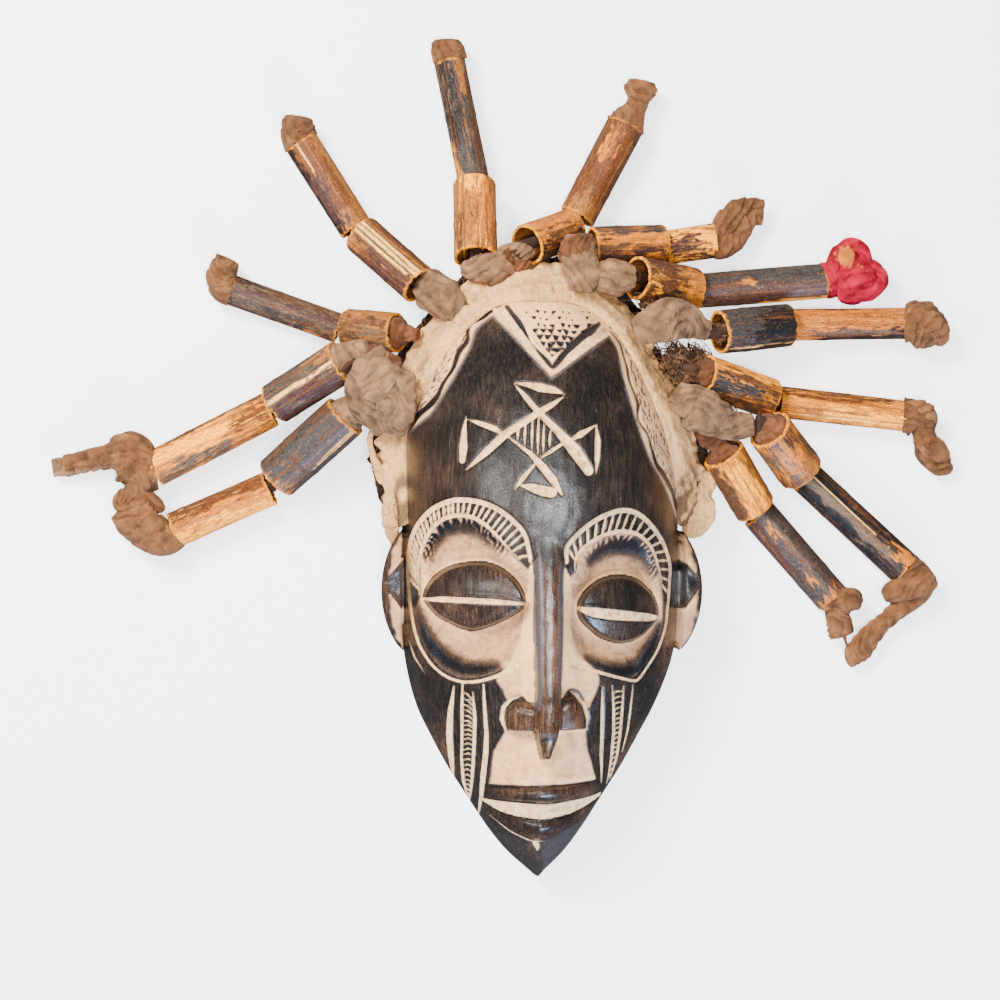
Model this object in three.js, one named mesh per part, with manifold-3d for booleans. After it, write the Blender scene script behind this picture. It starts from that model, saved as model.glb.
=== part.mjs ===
// A carved wooden face mask whose hair is twelve locks of cane tubes. It lies on its back with the face up.
// Millimetres. +X is to the right of someone who faces the mask, +Y runs from the chin to the crown and +Z
// comes out of the face. z = 0 is the surface that the back rim and the canes lie on. Inside the mask group,
// x = 0 is the middle of the wood and y = 0 is level with the eyes.
import * as THREE from "three";
import { mergeVertices } from "three/addons/utils/BufferGeometryUtils.js";
import Module from "manifold-3d";

const wasm = await Module();
wasm.setup();

// Driving dimensions
const chinY = -134; // the wood runs from the chin's tip
const crownY = 152; // to the top of the crown
const rimThickness = 9; // of the wood around the hollow
const hollowDepthShare = 0.72; // of the wood's own height
const lidBulge = 11; // how far the closed lids stand out of the sockets
const socketDepth = 12;
const bandThickness = 2.6;
const boreShare = 0.76; // a cane's bore as a share of its diameter
const coreSize = 6.4; // the rolled strip inside the canes
const fitGap = 0.35; // air between pieces that touch
const boxCentre = { x: -14.66, y: 67.22 }; // the middle of the whole object, from between the eyes
const caneSides = 10;
const stripSides = 7;

// The wooden face at stations along y, as [y, value] pairs
const halfWidthAt = curveThrough([
  [-134, 2.5], [-124, 13.5], [-112, 23], [-95, 34], [-82, 42.3], [-67, 50.5], [-53, 57.5], [-37, 63],
  [-22, 66], [0, 66.8], [30, 66.8], [80, 66], [100, 61], [115, 53.5], [128, 44.5], [138, 35], [146, 25],
  [152, 12],
]);
const heightAt = curveThrough([
  [-134, 14], [-124, 29], [-112, 42], [-95, 55], [-82, 61], [-67, 65], [-53, 69], [-37, 73], [-22, 77],
  [0, 81], [30, 88], [55, 90], [80, 87], [100, 80], [115, 71], [128, 59], [138, 45], [146, 30], [152, 12],
]);
const midlineAt = curveThrough([
  [-134, -1.5], [-110, -2.4], [-60, -2.4], [-25, -0.4], [40, 0], [80, -1.5], [110, -3], [152, -3],
]);
const fullnessAt = curveThrough([[-134, 1.5], [-100, 1.7], [-60, 2], [-20, 2.2], [40, 2.3], [152, 2.2]]);
const shoulderAt = curveThrough([[-134, 0.7], [-100, 0.62], [-60, 0.55], [-20, 0.5], [152, 0.5]]);

// A smooth curve through [station, value] pairs; its slope at a pair comes from the pairs on either side.
function curveThrough(pairs) {
  const last = pairs.length - 1;
  const slope = (i) => {
    const before = pairs[Math.max(i - 1, 0)];
    const after = pairs[Math.min(i + 1, last)];
    return (after[1] - before[1]) / (after[0] - before[0]);
  };
  return (t) => {
    const at = Math.min(Math.max(t, pairs[0][0]), pairs[last][0]);
    const passed = pairs.filter(([station]) => station <= at).length;
    const i = Math.min(passed, last) - 1;
    const span = pairs[i + 1][0] - pairs[i][0];
    const s = (at - pairs[i][0]) / span;
    const blend = 3 * s ** 2 - 2 * s ** 3;
    return (1 - blend) * pairs[i][1] + blend * pairs[i + 1][1]
      + span * ((s ** 3 - 2 * s ** 2 + s) * slope(i) + (s ** 3 - s ** 2) * slope(i + 1));
  };
}

// How far a section has risen at a share of its half width, from 1 in the middle to 0 at the rim
function riseAt(share, y) {
  return (1 - Math.min(Math.abs(share), 1) ** fullnessAt(y)) ** shoulderAt(y);
}

// Height of the plain domed face, before any carving
function domeHeight(x, y) {
  if (y < chinY || y > crownY) return 0;
  return heightAt(y) * riseAt((x - midlineAt(y)) / halfWidthAt(y), y);
}

// A solid from a closed geometry whose faces may point in or out
function solidOf(geometry) {
  const bare = geometry.clone().deleteAttribute("normal").deleteAttribute("uv");
  const merged = mergeVertices(bare, 1e-4);
  const triVerts = new Uint32Array(merged.index.array);
  const corner = (i) => new THREE.Vector3().fromBufferAttribute(merged.attributes.position, triVerts[i]);
  const starts = Array.from({ length: triVerts.length / 3 }, (_, i) => 3 * i);
  const volume = starts.reduce((sum, i) => sum + corner(i).dot(corner(i + 1).cross(corner(i + 2))), 0);
  if (volume < 0) {
    for (const i of starts) [triVerts[i], triVerts[i + 1]] = [triVerts[i + 1], triVerts[i]];
  }
  const vertProperties = merged.attributes.position.array;
  return new wasm.Manifold(new wasm.Mesh({ numProp: 3, vertProperties, triVerts }));
}

function geometryOf(solid) {
  const mesh = solid.getMesh();
  const geometry = new THREE.BufferGeometry();
  geometry.setAttribute("position", new THREE.BufferAttribute(mesh.vertProperties, 3));
  geometry.setIndex(new THREE.BufferAttribute(mesh.triVerts, 1));
  geometry.computeVertexNormals();
  return geometry;
}

function joined(solids) {
  return solids.reduce((whole, solid) => whole.add(solid));
}

// A cut can leave loose crumbs, so only the main piece is kept.
function biggestPart(solid) {
  return solid.decompose().sort((a, b) => b.volume() - a.volume())[0];
}

// A closed solid through rings of points, all with the same count, and a fan at each end
function loft(rings) {
  const count = rings[0].length;
  const middle = (ring) => ring.reduce((sum, p) => sum.add(p), new THREE.Vector3()).divideScalar(count);
  const points = [...rings.flat(), middle(rings[0]), middle(rings[rings.length - 1])];
  const faces = [];
  const endRow = (rings.length - 1) * count;
  for (let i = 0; i < count; i += 1) {
    const next = (i + 1) % count;
    for (let row = 0; row < endRow; row += count) {
      const [a, b] = [row + i, row + next];
      faces.push(a, b, a + count, b, b + count, a + count);
    }
    faces.push(points.length - 2, next, i, points.length - 1, endRow + i, endRow + next);
  }
  const geometry = new THREE.BufferGeometry().setFromPoints(points);
  geometry.setIndex(faces);
  return solidOf(geometry);
}

// A round or flattened bar through its stops, each [x, y, z, width, thickness]
function bar(stops, sides) {
  const path = new THREE.CatmullRomCurve3(stops.map(pointAt), false, "centripetal");
  return loft(stops.map((stop, row) => {
    const [, , , width, thickness] = stop;
    const along = path.getTangent(row / (stops.length - 1));
    const flat = new THREE.Vector3(0, 0, 1).cross(along).normalize();
    const up = along.clone().cross(flat).normalize();
    return Array.from({ length: sides }, (_, i) => {
      const angle = ((i + 0.5) / sides) * 2 * Math.PI;
      return pointAt(stop)
        .addScaledVector(flat, (Math.cos(angle) * width) / 2)
        .addScaledVector(up, (Math.sin(angle) * thickness) / 2);
    });
  }));
}

function pointAt([x, y, z = 0]) {
  return new THREE.Vector3(x, y, z);
}

// tilt turns it about y and lean about x, in radians
function ellipsoid([x, y, z], [rx, ry, rz], { tilt = 0, lean = 0, sides = 8 } = {}) {
  const geometry = new THREE.SphereGeometry(1, sides, sides / 2).scale(rx, ry, rz);
  return solidOf(geometry.rotateX(lean).rotateY(tilt).translate(x, y, z));
}

// The domed form between two ys, closed along its back plane, with its outside moved out by grow
const faceDome = { from: chinY, to: crownY, width: halfWidthAt, height: heightAt, rows: 26, columns: 18 };

function dome({ from, to, width, height, rows, columns }, grow = 0, floor = 0) {
  const middleShare = 0.6; // the rest crowds the columns towards the rim
  return loft(Array.from({ length: rows + 1 }, (_, row) => {
    const y = from + (to - from) * (0.5 - 0.5 * Math.cos((Math.PI * row) / rows));
    const end = grow * ((row === rows) - (row === 0));
    return Array.from({ length: columns + 1 }, (__, column) => {
      const u = (2 * column) / columns - 1;
      const share = Math.sin((Math.PI / 2) * (middleShare * u + (1 - middleShare) * u ** 3));
      const x = midlineAt(y) + share * (width(y) + grow);
      return new THREE.Vector3(x, y + end, floor + riseAt(share, y) * (height(y) + grow));
    });
  }));
}

// The room for the wearer's face, open at the back
function hollow() {
  const room = {
    from: chinY + 20, to: crownY - 11, rows: 12, columns: 10,
    width: (y) => Math.max(halfWidthAt(y) - rimThickness, 2),
  };
  const domed = dome({ ...room, height: (y) => heightAt(y) * hollowDepthShare });
  return domed.add(dome({ ...room, height: () => 3 }, 0, -1));
}

// The carved features, as [x, y] on the face
const eyes = [
  {
    socket: [-35.5, 4.5],
    socketSize: [27.5, 41, socketDepth],
    lid: [-33.2, 1.5],
    lidSize: [24, 16.5, lidBulge],
    slit: [[-53.5, 1.3], [-33, 1.5], [-12.5, -0.3]],
    slitWidth: 3.6,
  },
  {
    socket: [33.8, 2.5],
    socketSize: [26.5, 39.5, socketDepth],
    lid: [34.2, -4],
    lidSize: [22, 17, lidBulge],
    slit: [[16, -5], [34, -5.6], [52, -7]],
    slitWidth: 4.6,
  },
];
const noseRidge = [
  [-0.5, 24, 84, 15, 9], [-0.6, 8, 84, 15, 12], [-0.8, -20, 80.5, 14.5, 17], [-1, -45, 77, 13.5, 22],
  [-1.2, -62, 75, 12, 22], [-1.4, -72, 71, 7, 16],
];
const nostrils = { y: -50, z: 68, apart: 11.5, size: [7.5, 9, 7] };
const upperLip = [
  [-27, -91, 36, 6, 7], [-14, -89, 52.5, 8, 8], [-0.5, -88.5, 59.5, 8, 8], [13, -89, 52.5, 8, 8],
  [27, -92, 36, 6, 7],
];
const lowerLip = [
  [-25, -99, 30, 6, 8], [-14, -103.5, 42, 8, 9], [-1, -106, 49, 9, 10], [12, -103.5, 42, 8, 9],
  [24, -99, 31, 6, 8],
];
const mouthLine = [[-26.5, -94], [-1, -97], [25.5, -94.5]];

// Forehead strokes, as two ends and the width in the middle: a cross of four lines, a cap at each of its four
// points, and the V at the hairline
const foreheadStrokes = [
  [[-37.5, 61], [6.6, 93.7], 3.2], [[-16.2, 99], [18.2, 59.8], 3.6],
  [[-36.4, 83], [2.9, 48.9], 2.6], [[-16.6, 50], [21.1, 80.7], 2.2],
  [[-16.1, 100.1], [6.6, 94.8], 3.6], [[-37.9, 85.1], [-39, 64.6], 3],
  [[21.6, 81.2], [20.8, 58.3], 2.8], [[-14.6, 52.5], [1.4, 48.4], 4],
  [[-22.8, 136.6], [0.6, 103.8], 3.4], [[29.2, 125.1], [1.1, 103.8], 3.8],
];
const cheekStrokeColumns = { left: [-28.5, -35, -42], right: [24.5, 31, 38] };

// How far along z the solid's front lies at x, y
function frontOf(solid) {
  const target = new THREE.Mesh(geometryOf(solid), new THREE.MeshBasicMaterial());
  const caster = new THREE.Raycaster();
  return (x, y) => {
    caster.set(new THREE.Vector3(x, y, 200), new THREE.Vector3(0, 0, -1));
    const [hit] = caster.intersectObject(target);
    return hit ? hit.point.z : 0;
  };
}

// A wedge that cuts a groove along the points; it is widest in the middle and runs out at both ends.
function groove(front, points, width, depth, steps = 3) {
  const path = new THREE.CatmullRomCurve3(points.map(pointAt));
  const above = 3; // how far the wedge stands out of the wood
  return loft(Array.from({ length: steps + 1 }, (_, row) => {
    const { x, y } = path.getPoint(row / steps);
    const along = path.getTangent(row / steps);
    const swell = Math.max(Math.sin((Math.PI * row) / steps), 0.12) ** 0.5;
    const half = (width / 2) * swell * (1 + above / depth);
    const surface = front(x, y);
    return [
      new THREE.Vector3(x - along.y * half, y + along.x * half, surface + above),
      new THREE.Vector3(x, y, surface - depth * swell),
      new THREE.Vector3(x + along.y * half, y - along.x * half, surface + above),
    ];
  }));
}

function carvedGrooves(front) {
  const slits = eyes.map((eye) => groove(front, eye.slit, eye.slitWidth, 2, 4));
  const forehead = foreheadStrokes.map(([from, to, width]) => groove(front, [from, to], width, 1.6));
  const cheeks = [...cheekStrokeColumns.left, ...cheekStrokeColumns.right].map((x) => {
    const inward = -Math.sign(x) * 2; // the strokes lean towards the mouth
    return groove(front, [[x, -40], [x, -60], [x + inward, -84]], 3, 1.3);
  });
  return [...slits, ...forehead, ...cheeks, groove(front, mouthLine, 6, 4, 5)];
}

function ear(side, grow = 0) {
  const size = [10, 29, 13].map((half) => half + grow);
  return ellipsoid([side * 65.5 - 0.3, 4, 27], size, { tilt: side * 0.5, sides: 12 });
}

function carvedFace() {
  const step = 12; // over which the dome's slope is read
  const tiltAt = ([x, y]) => Math.atan2(domeHeight(x - step / 2, y) - domeHeight(x + step / 2, y), step);
  const leanAt = ([x, y]) => Math.atan2(domeHeight(x, y + step) - domeHeight(x, y - step), 2 * step);
  let face = dome(faceDome);
  for (const { socket, socketSize, lid, lidSize } of eyes) {
    const tilt = tiltAt(socket);
    face = face.subtract(ellipsoid([...socket, domeHeight(...socket)], socketSize, { tilt, sides: 16 }));
    const lidTurn = { tilt: tilt * 0.9, lean: leanAt(lid), sides: 14 };
    face = face.add(ellipsoid([...lid, domeHeight(...lid) - lidBulge], lidSize, lidTurn));
  }
  for (const side of [-1, 1]) {
    const nostril = ellipsoid([side * nostrils.apart - 0.8, nostrils.y, nostrils.z], nostrils.size);
    face = joined([face, nostril, ear(side)]);
  }
  face = joined([face, bar(noseRidge, 8), bar(upperLip, 6), bar(lowerLip, 6)]).subtract(hollow());
  const below = solidOf(new THREE.BoxGeometry(400, 500, 40).translate(0, 0, -20));
  return biggestPart(face.subtract(joined(carvedGrooves(frontOf(face)))).subtract(below));
}

// The clay-coated cap band over the crown, from the left temple to the right one. Its front edge lies on the
// wood and its outer edge stands clear of it.
const bandFrontEdge = [
  [-67, 34], [-67.5, 48], [-67, 66], [-63, 84], [-55, 101], [-44.5, 118], [-32, 131], [-20, 139],
  [0, 140.5], [19, 138], [31, 129.5], [39.5, 117], [46.5, 103], [53, 87], [60, 68], [64, 50], [64.5, 35],
];
const bandOuterEdge = [
  [-69.5, 33], [-76, 50], [-79, 68], [-75.5, 87], [-69, 105], [-61.5, 121], [-50, 136], [-33, 152.5],
  [-4, 159.5], [24, 155.5], [41, 139], [54, 116.5], [63, 101.5], [72, 84], [75.5, 66.5], [76.5, 49],
  [72, 33.5],
];
const bandStations = 24;
const bandEdgeHeight = 21;
const bandUnderside = 17;
const archGap = 1; // from the wood to the arches' inner faces, which are straight between stations
const netOverhang = { left: 1.5, right: 6 }; // how far the fibre net shows past the band

// A solid that runs along the band. sectionAt gives its outline, as [way out from the front edge, height],
// from the band's reach, the front edge's height, the way to the wood at a height, and the share of the run.
function archOf(sectionAt, grow = 0) {
  const edges = [bandFrontEdge, bandOuterEdge];
  const [front, outer] = edges.map((edge) => new THREE.CatmullRomCurve3(edge.map(pointAt)));
  return loft(Array.from({ length: bandStations + 1 }, (_, station) => {
    const share = station / bandStations;
    const from = front.getPoint(share);
    const out = outer.getPoint(share).sub(from);
    const reach = out.length();
    out.normalize();
    const woodAt = (height) => {
      let way = 0;
      while (domeHeight(from.x + out.x * way, from.y + out.y * way) > height) way += 0.25;
      return way + archGap - grow;
    };
    const section = sectionAt({ reach, top: domeHeight(from.x, from.y), woodAt, grow, share });
    return section.map(([way, height]) => from.clone().addScaledVector(out, way).setZ(height));
  }));
}

function bandSection({ reach, top, woodAt, grow }) {
  const front = Math.max(top, bandEdgeHeight + 5);
  const fall = front - bandEdgeHeight;
  return [
    [woodAt(front) - 0.6, front + bandThickness + grow],
    [reach * 0.4, front + bandThickness - fall * 0.22 + grow],
    [reach * 0.8 + grow, bandEdgeHeight + fall * 0.4 + grow],
    [reach + grow, bandEdgeHeight],
    [reach - 1.5 + grow, bandUnderside - grow],
    [woodAt(bandUnderside), bandUnderside - grow],
    [woodAt(front - fall * 0.5), front - fall * 0.5],
    [woodAt(front), front - 0.5],
  ];
}

function netSection({ reach, woodAt, grow, share }) {
  const [low, high] = [1 - grow, bandUnderside - 0.5 + grow];
  const inside = Math.max(woodAt(low), woodAt(high)) + 1.5;
  const outside = reach + THREE.MathUtils.lerp(netOverhang.left, netOverhang.right, share) + grow;
  return [
    [inside, high], [outside - 3, high - 0.5], [outside, high - 5], [outside, low + 5], [outside - 3.5, low],
    [inside, low],
  ];
}

// Each lock has two canes, from the near end to the far end, and the cloth strip that runs through them: its
// stops before the canes, and those of its knot after them, as [x, y, z, width, thickness].
const locks = [
  {
    inner: { near: [-93, 87, 27], far: [-127, 57, 13], radius: 11.4 },
    outer: { near: [-131.5, 51.6, 9.6], far: [-177, 31.7, 9.1], radius: 8.8 },
    root: [[-83, 94, 34, 8, 9], [-88, 91, 31, 11, 12]],
    knot: [[-182, 29, 9.2, 19, 15], [-192, 30, 9, 21, 16], [-197, 39, 9, 19, 15], [-189, 46, 9.5, 15, 13]],
  },
  {
    inner: { near: [-94.6, 112.3, 34], far: [-127.5, 92.6, 16], radius: 10.6 },
    outer: { near: [-131, 89.4, 10], far: [-186, 61, 9.1], radius: 8.9 },
    root: [[-70, 98, 44, 17, 14], [-78, 103, 42, 22, 17], [-88, 108, 38, 17, 15]],
    knot: [[-191, 61, 9.6, 20, 16], [-198, 67, 10, 24, 17], [-209, 67.5, 8, 11, 9], [-234, 62.5, 5, 10, 5]],
  },
  {
    inner: { near: [-68.5, 125.8, 29], far: [-93.5, 129.2, 14], radius: 9.6 },
    outer: { near: [-98, 129.6, 8.6], far: [-149.7, 147.9, 7.6], radius: 7.3 },
    root: [[-59, 124.5, 33, 6, 6], [-64, 125.4, 31, 8, 8]],
    knot: [[-154, 150, 7.9, 15, 13], [-156, 156, 8.2, 15.5, 14], [-152, 164, 7.5, 11, 10]],
  },
  {
    inner: { near: [-57.8, 147.9, 28], far: [-86.4, 174.3, 12.5], radius: 10 },
    outer: { near: [-89.5, 178.2, 8.7], far: [-115.7, 219.7, 8.5], radius: 8.2 },
    root: [[-45, 138, 32, 13, 7], [-52, 143, 30.5, 14, 11]],
    knot: [[-117.5, 223.5, 8.6, 15, 15], [-118.5, 228.5, 8.2, 14.5, 13]],
  },
  {
    inner: { near: [-31.7, 160.5, 30], far: [-31.8, 198.7, 12.5], radius: 10.6 },
    outer: { near: [-32.4, 202.5, 9.6], far: [-44, 259.7, 8], radius: 7.5 },
    root: [[-15, 156, 27, 9, 10], [-23, 154.5, 30, 14, 12], [-31, 156, 31, 12, 11]],
    knot: [[-44.6, 263.2, 8, 14.6, 14.6], [-44.9, 268, 7.9, 14, 12]],
  },
  {
    inner: { near: [-8, 167.5, 30], far: [15.2, 177.2, 12.5], radius: 10.2 },
    outer: { near: [18.4, 184.6, 10], far: [41.6, 228.5, 9.6], radius: 9.3 },
    root: [[-20, 160, 30, 8, 8], [-14, 162, 31, 11, 11]],
    knot: [[44, 232, 9.4, 13, 13], [46.5, 238, 9.4, 9, 9], [48, 245, 9.5, 13.5, 12], [49, 249, 9.5, 11, 10]],
  },
  {
    inner: { near: [23.4, 167.6, 23], far: [59.2, 170.2, 12.5], radius: 9.6 },
    outer: { near: [62, 168.9, 9.3], far: [85.8, 172.6, 9], radius: 8.6 },
    root: [[18, 150, 38, 14, 8], [17, 159, 36, 15, 11], [19, 166, 29, 13, 11]],
    knot: [[89.5, 172.5, 9.4, 19, 11], [94, 178, 10, 20, 9], [100, 187, 10, 14, 9], [107, 190, 8, 11, 7]],
  },
  {
    inner: { near: [44, 152, 34], far: [73.8, 148, 14], radius: 10.6 },
    outer: { near: [77.5, 147.8, 9.4], far: [139, 152.9, 8.8], radius: 8.5 },
    root: [[25, 152.5, 42, 13, 9], [33, 151.5, 39.5, 16, 14], [41, 151.5, 36, 13, 13]],
    knot: [
      [142, 153.5, 9.2, 20, 17], [148, 153, 10.5, 29, 20], [158, 154, 10, 24, 18], [164, 156, 9, 13, 12],
    ],
  },
  {
    inner: { near: [84, 126.6, 27], far: [120.4, 131.3, 13], radius: 10.6 },
    outer: { near: [124, 131.6, 8.6], far: [179.1, 132.6, 8.2], radius: 7.9 },
    root: [[49, 128, 42, 17, 6], [61, 131, 38, 17, 9], [70, 128.5, 32, 9, 7], [79, 127, 28.5, 9, 8]],
    knot: [
      [182.5, 132.4, 9.6, 21, 17], [188, 131, 9.8, 22, 18], [195, 129.5, 9, 13, 12], [199.5, 129, 8, 3, 3],
    ],
  },
  {
    inner: { near: [76, 106.4, 30], far: [111.7, 95.5, 13.5], radius: 10.2 },
    outer: { near: [117.5, 94, 8.6], far: [177.6, 87.4, 8.2], radius: 7.9 },
    root: [[63, 108, 37, 9, 6], [69, 107.5, 33.5, 13, 12]],
    knot: [
      [181.5, 85.5, 9, 17, 13], [188, 79, 8.8, 13, 11], [193, 74, 8.5, 12, 9], [201, 66, 7, 11, 6],
      [203.5, 60, 5, 5, 3],
    ],
  },
  {
    inner: { near: [108, 80.5, 30], far: [126.3, 60.2, 13.5], radius: 11.4 },
    outer: { near: [129.3, 57.6, 9.6], far: [178.1, 12.6, 8.8], radius: 8.5 },
    root: [[66, 88, 44, 14, 6], [76, 86, 38, 16, 9], [90, 82, 32, 13, 8], [101, 83, 33, 9, 8]],
    knot: [
      [182, 9, 8.8, 17, 15], [184, 1.5, 8.6, 21, 14], [175, -6, 7, 11, 9], [163, -19, 6.5, 11, 7],
      [155, -27.5, 6.5, 13, 8], [150, -33, 5, 4, 4],
    ],
  },
  {
    inner: { near: [86.3, 69.4, 26], far: [103.9, 42.7, 13], radius: 10.6 },
    outer: { near: [106.7, 39.4, 9.4], far: [142.9, -1.9, 8.9], radius: 8.6 },
    root: [[76.5, 80.5, 30, 10, 6], [81, 76, 27.5, 11, 9]],
    knot: [[147, -4.5, 9, 17, 15], [149, -9, 8.6, 20, 12], [149, -17, 7, 12, 7], [151, -21, 6, 9, 5]],
  },
];
const paleCanes = [
  "01_outer", "02_outer", "05_inner", "06_inner", "07_outer", "09_outer", "10_inner", "10_outer", "12_inner",
];
const redStrip = "08";

// A hollow length of cane that stands on its near end, with room left around it where grow is given
function caneGeometry({ near, far, radius }, grow = 0) {
  const length = pointAt(near).distanceTo(pointAt(far)) + grow;
  const [outside, bore] = [radius + grow, radius * boreShare - grow];
  const profile = [[bore, -grow], [outside, -grow], [outside, length], [bore, length], [bore, -grow]];
  return new THREE.LatheGeometry(profile.map(([r, h]) => new THREE.Vector2(r, h)), caneSides);
}

function placeCane(object, { near, far }) {
  object.position.set(...near);
  const along = pointAt(far).sub(pointAt(near)).normalize();
  object.quaternion.setFromUnitVectors(new THREE.Vector3(0, 1, 0), along);
  object.updateMatrix();
  return object;
}

function caneRoom(cane) {
  const place = placeCane(new THREE.Object3D(), cane).matrix;
  return solidOf(caneGeometry(cane, fitGap).applyMatrix4(place));
}

// The cloth strip: a wad at the root, a thin core through both canes, and the knot that stops them
function stripBar({ inner, outer, root, knot }) {
  const core = [inner.near, inner.far, outer.near, outer.far].map((point) => [...point, coreSize, coreSize]);
  return bar([...root, ...core, ...knot], stripSides);
}

const materials = {
  wood: new THREE.MeshStandardMaterial({ color: 0x2a1d18, roughness: 0.38, metalness: 0 }),
  clay: new THREE.MeshStandardMaterial({ color: 0xc9ab86, roughness: 0.95, metalness: 0 }),
  fibre: new THREE.MeshStandardMaterial({ color: 0x3d2619, roughness: 1, metalness: 0 }),
  darkCane: new THREE.MeshStandardMaterial({ color: 0x4a3a33, roughness: 0.5, metalness: 0 }),
  paleCane: new THREE.MeshStandardMaterial({ color: 0xb5803f, roughness: 0.5, metalness: 0 }),
  cloth: new THREE.MeshStandardMaterial({ color: 0x7a5844, roughness: 0.95, metalness: 0 }),
  redCloth: new THREE.MeshStandardMaterial({ color: 0xb01731, roughness: 0.9, metalness: 0 }),
};

function named(name, geometry, material) {
  const mesh = new THREE.Mesh(geometry, material);
  mesh.name = name;
  return mesh;
}

// The head: the wood, the band over it, and the net under the band
const tornEdge = ellipsoid([78, 46, 22.6], [4.5, 11, 5]);
const tiedEdge = ellipsoid([-78.5, 74, 22], [4, 9, 5]);
const earsRoom = joined([-1, 1].map((side) => ear(side, fitGap)));
const capBand = biggestPart(joined([archOf(bandSection), tornEdge, tiedEdge]).subtract(earsRoom));
const netRoll = biggestPart(archOf(netSection).subtract(earsRoom));
const mask = new THREE.Group();
mask.add(named("carved_face", geometryOf(carvedFace()), materials.wood));
mask.add(named("cap_band", geometryOf(capBand), materials.clay));
mask.add(named("net_roll", geometryOf(netRoll), materials.fibre));

// The room that the strips keep clear of: the head, the surface below, every cane and the strips before them
const woodRoom = dome({ ...faceDome, rows: 16, columns: 14 }, fitGap + 0.25);
const floorRoom = solidOf(new THREE.BoxGeometry(600, 600, 40).translate(0, 0, 0.1 - 20));
let stripsRoom = joined([
  woodRoom, floorRoom, tornEdge, tiedEdge, archOf(bandSection, fitGap), archOf(netSection, fitGap),
  ...locks.flatMap(({ inner, outer }) => [caneRoom(inner), caneRoom(outer)]),
]);

locks.forEach((lock, i) => {
  const number = String(i + 1).padStart(2, "0");
  const group = new THREE.Group();
  for (const part of ["inner", "outer"]) {
    const material = paleCanes.includes(`${number}_${part}`) ? materials.paleCane : materials.darkCane;
    const cane = named(`lock_${number}_${part}_cane`, caneGeometry(lock[part]), material);
    group.add(placeCane(cane, lock[part]));
  }
  const strip = biggestPart(stripBar(lock).subtract(stripsRoom));
  stripsRoom = stripsRoom.add(strip);
  const cloth = number === redStrip ? materials.redCloth : materials.cloth;
  group.add(named(`lock_${number}_strip`, geometryOf(strip), cloth));
  mask.add(group);
});

mask.position.set(-boxCentre.x, -boxCentre.y, 0);
const part = new THREE.Group();
part.add(mask);
export default part;
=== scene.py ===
# A carved wooden face mask with a clay-caked cap band, a fibre net, and hair made of cane tubes on cloth
# strips. It lies on its back on a pale floor. Shapes are worked out in millimetres, with x = 0 in the middle
# of the wood, y = 0 level with the eyes and z = 0 on the floor. makePiece puts them in the model's frame.
import math
import bpy
import bmesh
import numpy as np
from mathutils import Matrix, Vector


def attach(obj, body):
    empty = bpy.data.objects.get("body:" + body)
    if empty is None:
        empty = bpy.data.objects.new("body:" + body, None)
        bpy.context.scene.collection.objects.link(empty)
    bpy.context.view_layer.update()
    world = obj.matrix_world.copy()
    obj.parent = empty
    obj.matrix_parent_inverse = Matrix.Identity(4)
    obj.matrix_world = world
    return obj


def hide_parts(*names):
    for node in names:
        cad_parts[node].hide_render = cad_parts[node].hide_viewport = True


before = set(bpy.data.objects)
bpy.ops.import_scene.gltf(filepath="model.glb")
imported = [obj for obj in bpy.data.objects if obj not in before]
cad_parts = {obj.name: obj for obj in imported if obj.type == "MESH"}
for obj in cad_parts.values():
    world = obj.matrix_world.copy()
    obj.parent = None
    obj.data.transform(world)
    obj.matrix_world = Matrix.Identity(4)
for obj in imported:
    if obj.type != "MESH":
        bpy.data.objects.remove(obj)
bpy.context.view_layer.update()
objectMiddle = np.array([-14.66, 67.22, 0.0])  # the model's origin, from between the eyes


def addObject(name, data):
    made = bpy.data.objects.new(name, data)
    bpy.context.scene.collection.objects.link(made)
    return made


# The camera looks straight down, from slightly to the left. Its target and distance are in millimetres.
camera = {"target": (-21.2, 46.6, 50.0), "distance": 1150.0, "turn": 2.5, "lens": 88.84}
turn = math.radians(camera["turn"])
away = np.array([-math.sin(turn), 0.0, math.cos(turn)])
right = np.array([math.cos(turn), 0.0, math.sin(turn)])
place = (np.array(camera["target"]) - objectMiddle + camera["distance"] * away) / 1000
cameraData = bpy.data.cameras.new("camera")
cameraData.lens = camera["lens"]
cameraData.clip_end = 20.0
cameraObject = addObject("camera", cameraData)
cameraObject.matrix_world = Matrix((
    (right[0], 0.0, away[0], place[0]), (right[1], 1.0, away[1], place[1]),
    (right[2], 0.0, away[2], place[2]), (0.0, 0.0, 0.0, 1.0)))
bpy.context.scene.camera = cameraObject
print("camera placed")


# Points written as "x,y x,y", with a width or more numbers after each y where they are needed
def path(text):
    return [[float(number) for number in point.split(",")] for point in text.split()]


def paths(*texts):
    return [path(text) for text in texts]


# Smooth step: 0 below 0, 1 above 1, and 3t^2 - 2t^3 between them
def smoothStep(t):
    t = np.clip(t, 0.0, 1.0)
    return t * t * (3 - 2 * t)


# A curve through [station, value] pairs: a cubic on each span, whose slopes come from the pairs on either side
def valueThrough(pairs, t):
    at, value = np.array(pairs, float).T
    slope = np.empty_like(value)
    slope[1:-1] = (value[2:] - value[:-2]) / (at[2:] - at[:-2])
    slope[0] = (value[1] - value[0]) / (at[1] - at[0])
    slope[-1] = (value[-1] - value[-2]) / (at[-1] - at[-2])
    t = np.clip(t, at[0], at[-1])
    i = np.clip(np.searchsorted(at, t, side="right") - 1, 0, len(at) - 2)
    span = at[i + 1] - at[i]
    s = (t - at[i]) / span
    blend = 3 * s**2 - 2 * s**3
    return ((1 - blend) * value[i] + blend * value[i + 1]
            + span * ((s**3 - 2 * s**2 + s) * slope[i] + (s**3 - s**2) * slope[i + 1]))


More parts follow.
